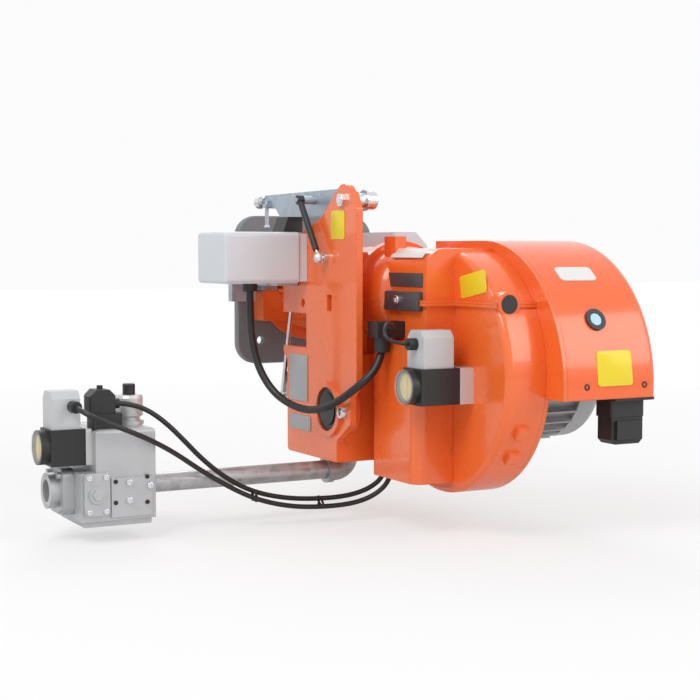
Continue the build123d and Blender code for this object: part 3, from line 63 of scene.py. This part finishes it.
# ---------------------------------------------------------------- camera, lamps and floor
# The burner hangs by its flange, so the floor lies a little under the lowest piece.
# One large soft lamp stands up on the left, a weaker one fills from the right.

camera_data = bpy.data.cameras.new("camera")
camera_data.lens = 77.1
camera_data.sensor_width = 36
camera_data.clip_end = 50
camera = bpy.data.objects.new("camera", camera_data)
scene.collection.objects.link(camera)
heading, downward_slope = radians(28), 1 / 15
tilt = atan(downward_slope)
look = Vector((sin(heading) * cos(tilt), cos(heading) * cos(tilt), -sin(tilt)))
camera.location = (-1.072, -2.180, 0.063)
camera.rotation_euler = look.to_track_quat("-Z", "Y").to_euler()
scene.camera = camera


def lamp(name, place, aim, size, power):
    data = bpy.data.lights.new(name, "AREA")
    data.shape = "SQUARE"
    data.size = size
    data.energy = power
    obj = bpy.data.objects.new(name, data)
    scene.collection.objects.link(obj)
    obj.location = place
    obj.rotation_euler = (Vector(aim) - Vector(place)).to_track_quat("-Z", "Y").to_euler()


lamp("key_lamp", (-2.2, -1.6, 2.4), (0, -0.3, 0), 1.6, 52)
lamp("fill_lamp", (1.8, -2.6, 1.2), (0, -0.3, -0.1), 1.8, 30)
lamp("back_lamp", (0.6, 1.8, 2.0), (0, -0.2, 0), 1.4, 22)

world = bpy.data.worlds.new("studio")
scene.world = world
world.use_nodes = True
world_tree = world.node_tree
sky = world_tree.nodes["Background"]
paths = world_tree.nodes.new("ShaderNodeLightPath")
seen = world_tree.nodes.new("ShaderNodeMath")
seen.operation = "MAXIMUM"
level = world_tree.nodes.new("ShaderNodeMapRange")
world_tree.links.new(paths.outputs["Is Camera Ray"], seen.inputs[0])
world_tree.links.new(paths.outputs["Is Glossy Ray"], seen.inputs[1])
world_tree.links.new(seen.outputs[0], level.inputs["Value"])
level.inputs["To Min"].default_value = 0.55
level.inputs["To Max"].default_value = 1.0
world_tree.links.new(level.outputs[0], sky.inputs["Strength"])
sky.inputs["Color"].default_value = (0.97, 0.97, 0.98, 1)
scene.view_settings.view_transform = "Standard"

floor_mesh = bpy.data.meshes.new("floor")
floor_form = bmesh.new()
floor_half_width, floor_gap = 12, 0.02
bmesh.ops.create_grid(floor_form, x_segments=1, y_segments=1, size=floor_half_width)
bmesh.ops.translate(floor_form, verts=floor_form.verts, vec=(0, 0, cad_box[0][2] - floor_gap))
floor_form.to_mesh(floor_mesh)
floor_form.free()
floor = bpy.data.objects.new("floor", floor_mesh)
scene.collection.objects.link(floor)
floor_paint = bpy.data.materials.new("floor_paint")
floor_paint.use_nodes = True
floor_tree = floor_paint.node_tree
floor_shader = floor_tree.nodes["Principled BSDF"]
floor_shader.inputs["Base Color"].default_value = (0.86, 0.86, 0.86, 1)
floor_shader.inputs["Roughness"].default_value = 0.9
glow = floor_tree.nodes.new("ShaderNodeEmission")
floor_paths = floor_tree.nodes.new("ShaderNodeLightPath")
spot = floor_tree.nodes.new("ShaderNodeTexCoord")
reach = floor_tree.nodes.new("ShaderNodeVectorMath")
reach.operation = "LENGTH"
fade = floor_tree.nodes.new("ShaderNodeMapRange")
fade.inputs["From Min"].default_value = 0.3
fade.inputs["From Max"].default_value = 2.2
fade.inputs["To Min"].default_value = 0.5
share = floor_tree.nodes.new("ShaderNodeMath")
share.operation = "MULTIPLY"
both = floor_tree.nodes.new("ShaderNodeMixShader")
floor_tree.links.new(spot.outputs["Object"], reach.inputs[0])
floor_tree.links.new(reach.outputs["Value"], fade.inputs["Value"])
floor_tree.links.new(fade.outputs[0], share.inputs[0])
floor_tree.links.new(floor_paths.outputs["Is Camera Ray"], share.inputs[1])
floor_tree.links.new(share.outputs[0], both.inputs[0])
floor_tree.links.new(floor_shader.outputs[0], both.inputs[1])
floor_tree.links.new(glow.outputs[0], both.inputs[2])
floor_tree.links.new(both.outputs[0], floor_tree.nodes["Material Output"].inputs["Surface"])
floor_mesh.materials.append(floor_paint)

# ---------------------------------------------------------------- cords
# Two PVC cables run from the valve's plugs to the fan housing, a ribbed conduit from the servomotor
# to its gland block, and a thin lead from that block to the air pressure switch.


class Sock:
    """A shader socket on which plain arithmetic adds the Math nodes."""

    def __init__(self, finish, out):
        self.finish, self.out = finish, out

    def maths(self, operation, first, second):
        return self.finish.node("ShaderNodeMath", {"operation": operation}, {0: first, 1: second})

    def __add__(self, other):
        return self.maths("ADD", self, other)

    def __mul__(self, other):
        return self.maths("MULTIPLY", self, other)


class Finish:
    """A surface finish: one Principled shader, with what varies over it made from object coordinates."""

    def __init__(self, name, color, roughness, metallic=0.0, coat=0.0, edge=0.0008, **sockets):
        self.material = bpy.data.materials.new(name)
        self.material.use_nodes = True
        self.tree = self.material.node_tree
        self.shader = self.tree.nodes["Principled BSDF"]
        plain = {"Base Color": (*color, 1), "Roughness": roughness, "Metallic": metallic, "Coat Weight": coat}
        plain.update(sockets)
        for key, value in plain.items():
            self.shader.inputs[key].default_value = value
        self.edge = edge

    def node(self, kind, settings=None, inputs=None, out=0):
        node = self.tree.nodes.new(kind)
        for key, value in (settings or {}).items():
            setattr(node, key, value)
        for key, value in (inputs or {}).items():
            if isinstance(value, Sock):
                self.tree.links.new(value.out, node.inputs[key])
            else:
                node.inputs[key].default_value = value
        return Sock(self, node.outputs[out])

    def feed(self, socket, value):
        self.tree.links.new(value.out, self.shader.inputs[socket])
        return self

    def place(self):
        return self.node("ShaderNodeTexCoord", out="Object")

    def noise(self, scale, detail=3.0):
        return self.node("ShaderNodeTexNoise", {}, {"Vector": self.place(), "Scale": scale, "Detail": detail})

    def blend(self, factor, first, second):
        return self.node(
            "ShaderNodeMix", {"data_type": "RGBA"}, {0: factor, 6: (*first, 1), 7: (*second, 1)}, out=2
        )

    def relief(self, height, strength, distance=0.0004):
        edge = self.node("ShaderNodeBevel", {"samples": 4}, {"Radius": self.edge})
        bump = self.node(
            "ShaderNodeBump", {},
            {"Height": height, "Strength": strength, "Distance": distance, "Normal": edge},
        )
        return self.feed("Normal", bump)


cable_skin = Finish("cable_skin", (0.012, 0.012, 0.013), 0.42)
cable_grain = cable_skin.noise(240)
cable_skin.feed("Roughness", cable_grain * 0.16 + 0.34).relief(cable_grain, 0.15)


def cord(name, radius, points, node):
    """A cord on the route that the part's source gives, as one smooth line."""
    data = bpy.data.curves.new(name, "CURVE")
    data.dimensions = "3D"
    data.bevel_depth = radius
    data.bevel_resolution = 5
    data.use_fill_caps = True
    data.resolution_u = 14
    spline = data.splines.new("NURBS")
    spline.points.add(len(points) - 1)
    for point, place in zip(spline.points, points):
        point.co = (*place, 1)
    spline.order_u = 3
    spline.use_endpoint_u = True
    obj = bpy.data.objects.new(name, data)
    scene.collection.objects.link(obj)
    data.materials.append(cable_skin.material)
    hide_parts(node)
    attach(obj, "burner")


cord("servo_conduit_line", 0.0055, [
    (-0.174, -0.180, 0.003), (-0.175, -0.182, -0.034), (-0.174, -0.187, -0.072), (-0.168, -0.198, -0.110),
    (-0.156, -0.218, -0.141), (-0.143, -0.247, -0.158), (-0.133, -0.282, -0.164), (-0.126, -0.318, -0.159),
    (-0.119, -0.352, -0.146), (-0.112, -0.384, -0.128), (-0.098, -0.397, -0.112), (-0.082, -0.398, -0.096),
    (-0.074, -0.395, -0.076),
], "servo_conduit")
cord("air_switch_line", 0.0025, [
    (-0.074, -0.417, -0.045), (-0.076, -0.431, -0.043), (-0.085, -0.446, -0.037), (-0.098, -0.459, -0.032),
    (-0.111, -0.470, -0.036), (-0.118, -0.480, -0.046), (-0.113, -0.487, -0.056), (-0.087, -0.488, -0.060),
], "air_switch_cable")
cord("coil_line", 0.0035, [
    (-0.409, -0.274, -0.141), (-0.388, -0.274, -0.144), (-0.365, -0.275, -0.154), (-0.341, -0.275, -0.172),
    (-0.317, -0.276, -0.196), (-0.290, -0.275, -0.224), (-0.256, -0.275, -0.252), (-0.215, -0.275, -0.275),
    (-0.165, -0.277, -0.288), (-0.115, -0.282, -0.292), (-0.070, -0.290, -0.290), (-0.038, -0.298, -0.280),
    (-0.018, -0.304, -0.262), (-0.012, -0.306, -0.236),
], "coil_cable")
cord("gas_switch_line", 0.0035, [
    (-0.474, -0.296, -0.142), (-0.472, -0.310, -0.145), (-0.462, -0.322, -0.152), (-0.440, -0.328, -0.162),
    (-0.410, -0.324, -0.174), (-0.375, -0.312, -0.190), (-0.340, -0.300, -0.209), (-0.300, -0.291, -0.236),
    (-0.258, -0.287, -0.262), (-0.215, -0.286, -0.284), (-0.165, -0.288, -0.298), (-0.115, -0.294, -0.302),
    (-0.066, -0.304, -0.299), (-0.034, -0.313, -0.286), (-0.016, -0.320, -0.264), (-0.012, -0.322, -0.236),
], "gas_switch_cable")

# ---------------------------------------------------------------- orange castings and hood
# The head, the split fan housing, the intake, the motor plate and the neck are sand castings with a
# thick gloss enamel, so the paint runs over a slightly uneven skin and every edge is soft.


def dress(finish, *names):
    """Gives CAD nodes a finish in place of the record's plain one."""
    for name in names:
        for piece_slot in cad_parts[name].material_slots:
            piece_slot.material = finish.material


enamel = Finish("orange_enamel", (0.90, 0.15, 0.022), 0.28, coat=0.6, edge=0.002,
                **{"Coat Roughness": 0.08})
enamel_skin = enamel.noise(60, 4)
enamel_tone = enamel.noise(9, 2)
enamel.feed("Base Color", enamel.blend(enamel_tone, (0.86, 0.130, 0.018), (0.94, 0.170, 0.028)))
enamel.feed("Roughness", enamel_skin * 0.14 + 0.22).relief(enamel_skin, 0.10, 0.0004)
dress(
    enamel, "head_neck", "head_casting", "fan_housing_upper", "fan_housing_lower", "air_intake", "motor_plate",
)

hood_paint = Finish("hood_paint", (0.92, 0.135, 0.020), 0.24, coat=0.5, edge=0.004, **{"Coat Roughness": 0.1})
hood_skin = hood_paint.noise(400, 2)
hood_paint.feed("Roughness", hood_skin * 0.10 + 0.20).relief(hood_skin, 0.04, 0.0002)
dress(hood_paint, "hood")

# ---------------------------------------------------------------- flange, gasket and combustion head
# Cast iron flange with a fibre rope gasket, a heat-resistant steel tube and disc, ceramic electrodes.

iron = Finish("flange_iron", (0.20, 0.21, 0.22), 0.5, metallic=0.3, edge=0.0015)
iron_grain = iron.noise(300, 5)
iron.feed("Roughness", iron_grain * 0.25 + 0.42).relief(iron_grain, 0.35)
dress(iron, "boiler_flange", "flange_bracket")

fibre = Finish("gasket_fibre", (0.60, 0.58, 0.52), 0.95)
fibre.relief(fibre.noise(900, 4), 0.8)
dress(fibre, "flange_gasket")

tube_steel = Finish("tube_steel", (0.52, 0.51, 0.49), 0.38, metallic=0.95)
tube_grain = tube_steel.noise(35, 5)
tube_steel.feed("Roughness", tube_grain * 0.35 + 0.22).relief(tube_grain, 0.1)
dress(tube_steel, "flame_tube", "diffuser_disc", "gas_head_tube", "butterfly_disc", "air_damper")

glaze = Finish("electrode_glaze", (0.80, 0.79, 0.74), 0.25)
glaze.relief(glaze.noise(120), 0.05)
dress(glaze, "electrodes")

# ---------------------------------------------------------------- bright and galvanised steel
# Links, studs and bolts are chromed or bright zinc; the opening arm and the pipe are hot-dip
# galvanised, with the crystal pattern that leaves.

bright = Finish("bright_zinc", (0.72, 0.73, 0.75), 0.22, metallic=1.0)
bright_grain = bright.noise(500, 2)
bright.feed("Roughness", bright_grain * 0.14 + 0.14).relief(bright_grain, 0.06)
dress(bright, "servo_drive", "gas_link_rod", "air_link_rod", "arm_knob", "hinge_bolts", "strut_rod")


def galvanised(name, tone, scale):
    """Zinc coat: flat crystals of slightly different grey, blended with a cloud of lighter and darker zinc."""
    zinc = Finish(name, tone, 0.4, metallic=0.75)
    crystal = zinc.node("ShaderNodeTexVoronoi", {}, {"Vector": zinc.place(), "Scale": scale}, out="Color")
    grey = zinc.node("ShaderNodeSeparateColor", {}, {0: crystal})
    cloud = zinc.noise(scale * 0.4, 4)
    dark = tuple(0.72 * value for value in tone)
    light = tuple(min(1, 1.18 * value) for value in tone)
    zinc.feed("Base Color", zinc.blend(grey * 0.55 + cloud * 0.45, dark, light))
    zinc.feed("Roughness", grey * 0.2 + cloud * 0.25 + 0.2)
    return zinc.relief(cloud, 0.2)


arm_zinc = galvanised("arm_zinc", (0.46, 0.52, 0.58), 70)
pipe_zinc = galvanised("pipe_zinc", (0.50, 0.51, 0.52), 110)
dress(arm_zinc, "arm", "servo_bracket")
dress(pipe_zinc, "gas_pipe", "gas_elbow")

# ---------------------------------------------------------------- aluminium and motor
# The valve and its flanges are die cast, the governor and the switch plates turned or rolled. The motor
# is painted grey, the butterfly body dark green, and the fan wheel and rotor are plain steel.

cast_alu = Finish("die_cast", (0.50, 0.51, 0.52), 0.45, metallic=0.55, edge=0.0012)
alu_grain = cast_alu.noise(450, 5)
alu_cloud = cast_alu.noise(22, 3)
cast_alu.feed("Base Color", cast_alu.blend(alu_cloud, (0.42, 0.43, 0.44), (0.58, 0.59, 0.60)))
cast_alu.feed("Roughness", alu_grain * 0.2 + 0.34).relief(alu_grain, 0.3)
dress(cast_alu, "valve_body", "valve_flanges", "valve_side_cover")

turned_alu = Finish("turned_aluminium", (0.66, 0.66, 0.66), 0.36, metallic=0.35)
turned_grain = turned_alu.noise(320, 3)
turned_alu.feed("Roughness", turned_grain * 0.16 + 0.28).relief(turned_grain, 0.08)
dress(turned_alu, "governor", "switch_plates")

motor_paint = Finish("motor_paint", (0.40, 0.42, 0.43), 0.42, metallic=0.25, edge=0.001)
motor_grain = motor_paint.noise(260, 3)
motor_paint.feed("Roughness", motor_grain * 0.2 + 0.32).relief(motor_grain, 0.15)
dress(motor_paint, "motor_body", "motor_cowl", "stator")

wheel_steel = Finish("wheel_steel", (0.45, 0.46, 0.47), 0.4, metallic=0.85)
wheel_steel.relief(wheel_steel.noise(200), 0.1)
dress(wheel_steel, "fan_wheel", "motor_rotor")

butterfly_paint = Finish("butterfly_paint", (0.055, 0.085, 0.078), 0.45, metallic=0.2)
butterfly_paint.relief(butterfly_paint.noise(250, 4), 0.3)
dress(butterfly_paint, "butterfly_body")

# ---------------------------------------------------------------- plastics
# Black for plugs, switches and glands, grey for the switch plugs, a paler grey for the servomotor and
# the control box, blue for the reset button, yellow for the dials under clear covers.

black = Finish("black_plastic", (0.016, 0.016, 0.017), 0.45)
black_grain = black.noise(700, 3)
black.feed("Roughness", black_grain * 0.2 + 0.34).relief(black_grain, 0.2, 0.0002)
dress(
    black, "port_plugs", "reset_bezel", "power_socket", "power_plug", "terminal_block", "strut_cylinder",
    "coil_box", "coil_plug", "governor_knob", "air_switch_body", "gas_switch_body", "cable_glands",
)

grey = Finish("grey_plastic", (0.55, 0.57, 0.58), 0.4)
grey_grain = grey.noise(600, 3)
grey.feed("Roughness", grey_grain * 0.15 + 0.33).relief(grey_grain, 0.15, 0.0002)
dress(grey, "switch_plugs")

servo_skin = Finish("servo_skin", (0.66, 0.69, 0.73), 0.38, edge=0.003)
servo_grain = servo_skin.noise(500, 3)
servo_skin.feed("Roughness", servo_grain * 0.15 + 0.3).relief(servo_grain, 0.1, 0.0002)
dress(servo_skin, "servo_housing", "control_box")

button_blue = Finish("button_blue", (0.32, 0.58, 0.82), 0.2, coat=0.4)
button_blue.relief(button_blue.noise(300), 0.02)
dress(button_blue, "reset_button")

dial_paint = Finish("dial_yellow", (0.86, 0.60, 0.03), 0.35)
dial_paint.relief(dial_paint.noise(400), 0.05)
dress(dial_paint, "air_switch_dial", "gas_switch_dial")

lens = Finish("clear_cover", (0.9, 0.92, 0.9), 0.05, Alpha=0.22)
dress(lens, "switch_covers")

# ---------------------------------------------------------------- side plate fittings
# Two bare data plates and one small bare yellow plate lie on the side plate, and a bright socket
# screw stands beside the sight port's rim.


SHARP_ANGLE = radians(35)


def piece(name, form, finish, body="burner"):
    """Makes a finished bmesh into a piece that rides on a body."""
    bmesh.ops.recalc_face_normals(form, faces=form.faces)
    mesh = bpy.data.meshes.new(name)
    form.to_mesh(mesh)
    form.free()
    mesh.materials.append(finish.material)
    mesh.shade_smooth()
    mesh.set_sharp_from_angle(angle=SHARP_ANGLE)
    obj = bpy.data.objects.new(name, mesh)
    scene.collection.objects.link(obj)
    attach(obj, body)


def facing(place, outward, upward=(0, 0, 1)):
    """The matrix that puts a flat form's +Z outward and its +Y upward, at a place."""
    out_axis = Vector(outward).normalized()
    side_axis = Vector(upward).cross(out_axis).normalized()
    up_axis = out_axis.cross(side_axis)
    turn = Matrix((side_axis, up_axis, out_axis)).transposed().to_4x4()
    return Matrix.Translation(place) @ turn


def sheet_plate(width, height, thick, corner, matrix):
    """A flat plate with round corners and a broken upper edge."""
    form = bmesh.new()
    bmesh.ops.create_grid(form, x_segments=1, y_segments=1, size=0.5)
    bmesh.ops.scale(form, verts=form.verts, vec=(width, height, 1))
    bmesh.ops.bevel(
        form, geom=form.verts[:], offset=corner, segments=5, profile=0.5, affect="VERTICES", material=-1
    )
    form.faces.ensure_lookup_table()
    face = form.faces[0]
    if face.normal.z < 0:
        face.normal_flip()
    raised = bmesh.ops.extrude_face_region(form, geom=[face])["geom"]
    top_verts = [part for part in raised if isinstance(part, bmesh.types.BMVert)]
    bmesh.ops.translate(form, verts=top_verts, vec=(0, 0, thick))
    top = [part for part in raised if isinstance(part, bmesh.types.BMFace)]
    bmesh.ops.inset_region(form, faces=top, thickness=thick * 0.3, depth=0)
    bmesh.ops.translate(form, verts=top[0].verts[:], vec=(0, 0, thick * 0.15))
    bmesh.ops.transform(form, matrix=matrix, verts=form.verts)
    return form


def socket_screws(places, outward, radius, height):
    """Cap screws with a round socket sunk in the head, all facing one way."""
    form = bmesh.new()
    for place in places:
        matrix = facing(place, outward, (0, 0, 1) if abs(Vector(outward).z) < 0.9 else (0, 1, 0))
        made = bmesh.ops.create_cone(
            form, cap_ends=True, segments=24, radius1=radius, radius2=radius, depth=height,
            matrix=matrix @ Matrix.Translation((0, 0, height / 2)),
        )
        faces = {face for vert in made["verts"] for face in vert.link_faces if len(face.verts) > 4}
        top = max(faces, key=lambda face: face.calc_center_median().dot(Vector(outward)))
        bevel = bmesh.ops.bevel(
            form, geom=top.edges[:], offset=radius * 0.14, segments=2, profile=0.5, affect="EDGES", material=-1
        )
        big = {face for vert in bevel["verts"] for face in vert.link_faces if len(face.verts) > 4}
        top = max(big, key=lambda face: face.calc_center_median().dot(Vector(outward)))
        bmesh.ops.inset_region(form, faces=[top], thickness=radius * 0.36, depth=0)
        bmesh.ops.inset_region(form, faces=[top], thickness=radius * 0.02, depth=0)
        bmesh.ops.translate(form, verts=top.verts[:], vec=-Vector(outward) * height * 0.55)
    return form


plate_grey = Finish("data_plate", (0.40, 0.40, 0.41), 0.4, metallic=0.5)
plate_grain = plate_grey.noise(180)
plate_grey.feed("Roughness", plate_grain * 0.2 + 0.3).relief(plate_grain, 0.05)
plate_dark = Finish("dark_plate", (0.075, 0.08, 0.085), 0.45, metallic=0.3)
plate_dark.relief(plate_dark.noise(260), 0.1)
plate_yellow = Finish("yellow_plate", (0.85, 0.66, 0.02), 0.35)
plate_yellow.relief(plate_yellow.noise(200), 0.03)
plate_pale = Finish("pale_plate", (0.78, 0.78, 0.76), 0.4)
plate_pale.relief(plate_pale.noise(200), 0.03)

# The sight port's rim stands proud of the side plate, so it sets the casting's left limit.
port_rim_height = 0.005
side_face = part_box("head_casting")[0][0] + port_rim_height
LEFT = (-1, 0, 0)
piece(
    "data_plate_upper",
    sheet_plate(0.060, 0.068, 0.0012, 0.002, facing((side_face, -0.199, -0.124), LEFT)),
    plate_grey,
)
piece(
    "data_plate_lower",
    sheet_plate(0.068, 0.022, 0.0012, 0.002, facing((side_face, -0.204, -0.190), LEFT)),
    plate_grey,
)
piece(
    "side_marker",
    sheet_plate(0.040, 0.040, 0.0010, 0.004, facing((side_face, -0.324, 0.098), LEFT)),
    plate_yellow,
)
port_screw = socket_screws([(side_face, -0.343, -0.163)], LEFT, 0.008, 0.008)
piece("port_screw", port_screw, bright)

# ---------------------------------------------------------------- fan housing fittings
# A dark cover with one socket screw lies on the dome, with a dark bare plate above it, a pale bare
# plate on the dome's shoulder and a bare yellow plate on the drum.

dome_face, cover_thick = -0.045, 0.0075
piece(
    "dome_data_plate",
    sheet_plate(0.094, 0.019, 0.0012, 0.002, facing((dome_face, -0.409, 0.0225), LEFT)),
    plate_dark,
)
piece(
    "dome_cover",
    sheet_plate(0.106, 0.026, cover_thick, 0.003, facing((dome_face, -0.403, -0.006), LEFT)),
    plate_dark,
)
shoulder_turn = radians(40)
piece(
    "dome_pale_plate",
    sheet_plate(
        0.086, 0.016, 0.001, 0.002,
        facing((dome_face + 0.0065, -0.409, 0.0585), (-cos(shoulder_turn), 0, sin(shoulder_turn))),
    ),
    plate_pale,
)
piece(
    "housing_marker",
    sheet_plate(0.062, 0.030, 0.001, 0.004, facing((0, -0.510, 0.018), LEFT, (0, 0.18, 1))),
    plate_yellow,
)
dome_screw = socket_screws([(dome_face - cover_thick, -0.403, -0.005)], LEFT, 0.0065, 0.005)
piece("dome_cover_screw", dome_screw, bright)

# ---------------------------------------------------------------- hood fittings
# A bare pale plate and a bare yellow plate lie on the hood's curve, with two black socket screws
# along its lower edge. Each is sunk a little, because it is flat and the hood is round.

hood_low, hood_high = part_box("hood")
arc_radius = 0.190
arc_y, arc_z = hood_low[1] + arc_radius, hood_high[2] - arc_radius


def on_hood(x, z, lift=0.0):
    """A place on the hood's curve at a height, and the way out from it."""
    rise = asin((z - arc_z) / arc_radius)
    outward = Vector((0, -cos(rise), sin(rise)))
    centre = Vector((x, arc_y, arc_z))
    return centre + outward * (arc_radius + lift), outward


badge_place, badge_out = on_hood(0.126, 0.031, -0.0006)
piece("hood_pale_plate", sheet_plate(0.058, 0.026, 0.0020, 0.006, facing(badge_place, badge_out)), plate_pale)
marker_place, marker_out = on_hood(0.142, -0.090, -0.0018)
piece("hood_marker", sheet_plate(0.056, 0.046, 0.0022, 0.005, facing(marker_place, marker_out)), plate_yellow)
screw_places = [on_hood(x, -0.113, -0.0028)[0] for x in (0.097, 0.190)]
piece("hood_screws", socket_screws(screw_places, (0, -1, 0), 0.0045, 0.0035), black)

# ---------------------------------------------------------------- gas valve fittings
# Four socket screws hold the valve's front cover, sunk into its face. Three more screws and four
# test nipples stand on the front panel.

FRONT = (0, -1, 0)
cover_low, cover_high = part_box("valve_side_cover")
cover_inset, cover_boss_height, screw_sink = 0.006, 0.003, 0.002
cover_y = cover_low[1] + cover_boss_height + screw_sink
cover_places = [
    (x, cover_y, z)
    for x in (cover_low[0] + cover_inset, cover_high[0] - cover_inset)
    for z in (cover_low[2] + cover_inset, cover_high[2] - cover_inset)
]
piece("valve_cover_screws", socket_screws(cover_places, FRONT, 0.0038, 0.003), bright)

panel_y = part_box("valve_body")[0][1]
panel_screws = [(-0.405, panel_y, -0.244), (-0.405, panel_y, -0.268), (-0.376, panel_y, -0.250)]
piece("valve_panel_screws", socket_screws(panel_screws, FRONT, 0.0045, 0.003), bright)
nipple_places = [(-0.424, panel_y, -0.242), (-0.424, panel_y, -0.270), (-0.380, panel_y, -0.238),
                 (-0.380, panel_y, -0.272)]
piece("valve_nipples", socket_screws(nipple_places, FRONT, 0.003, 0.0015), black)

# ---------------------------------------------------------------- cable ties
# Two nylon ties hold the valve cables together, each a flat band with its lock.


TIE_WIDTH, TIE_THICK, TIE_TILT = 0.0035, 0.0008, radians(40)
TIE_HALF_LONG, TIE_HALF_SHORT = 0.0120, 0.0050


def tie(name, place):
    """A band round both cables, which run along X here."""
    form = bmesh.new()
    bmesh.ops.create_circle(form, cap_ends=False, segments=28, radius=1)
    bmesh.ops.scale(form, verts=form.verts, vec=(TIE_HALF_LONG, TIE_HALF_SHORT, 1))
    raised = bmesh.ops.extrude_edge_only(form, edges=form.edges[:])["geom"]
    band = [part for part in raised if isinstance(part, bmesh.types.BMVert)]
    bmesh.ops.translate(form, verts=band, vec=(0, 0, TIE_WIDTH))
    bmesh.ops.recalc_face_normals(form, faces=form.faces)
    bmesh.ops.solidify(form, geom=form.faces[:], thickness=TIE_THICK)
    lock = bmesh.ops.create_cube(form, size=1)["verts"]
    bmesh.ops.scale(form, verts=lock, vec=(0.006, 0.004, 0.005))
    bmesh.ops.translate(form, verts=lock, vec=(0, -TIE_HALF_SHORT - 0.0015, TIE_WIDTH / 2))
    quarter = radians(90)
    along_x = Matrix.Rotation(quarter, 4, "Y") @ Matrix.Rotation(quarter, 4, "Z")
    turn = Matrix.Rotation(TIE_TILT, 4, "X") @ along_x
    bmesh.ops.transform(form, matrix=Matrix.Translation(place) @ turn, verts=form.verts)
    piece(name, form, black)


tie("cable_tie_left", (-0.215, -0.2805, -0.2795))
tie("cable_tie_right", (-0.115, -0.2880, -0.2959))
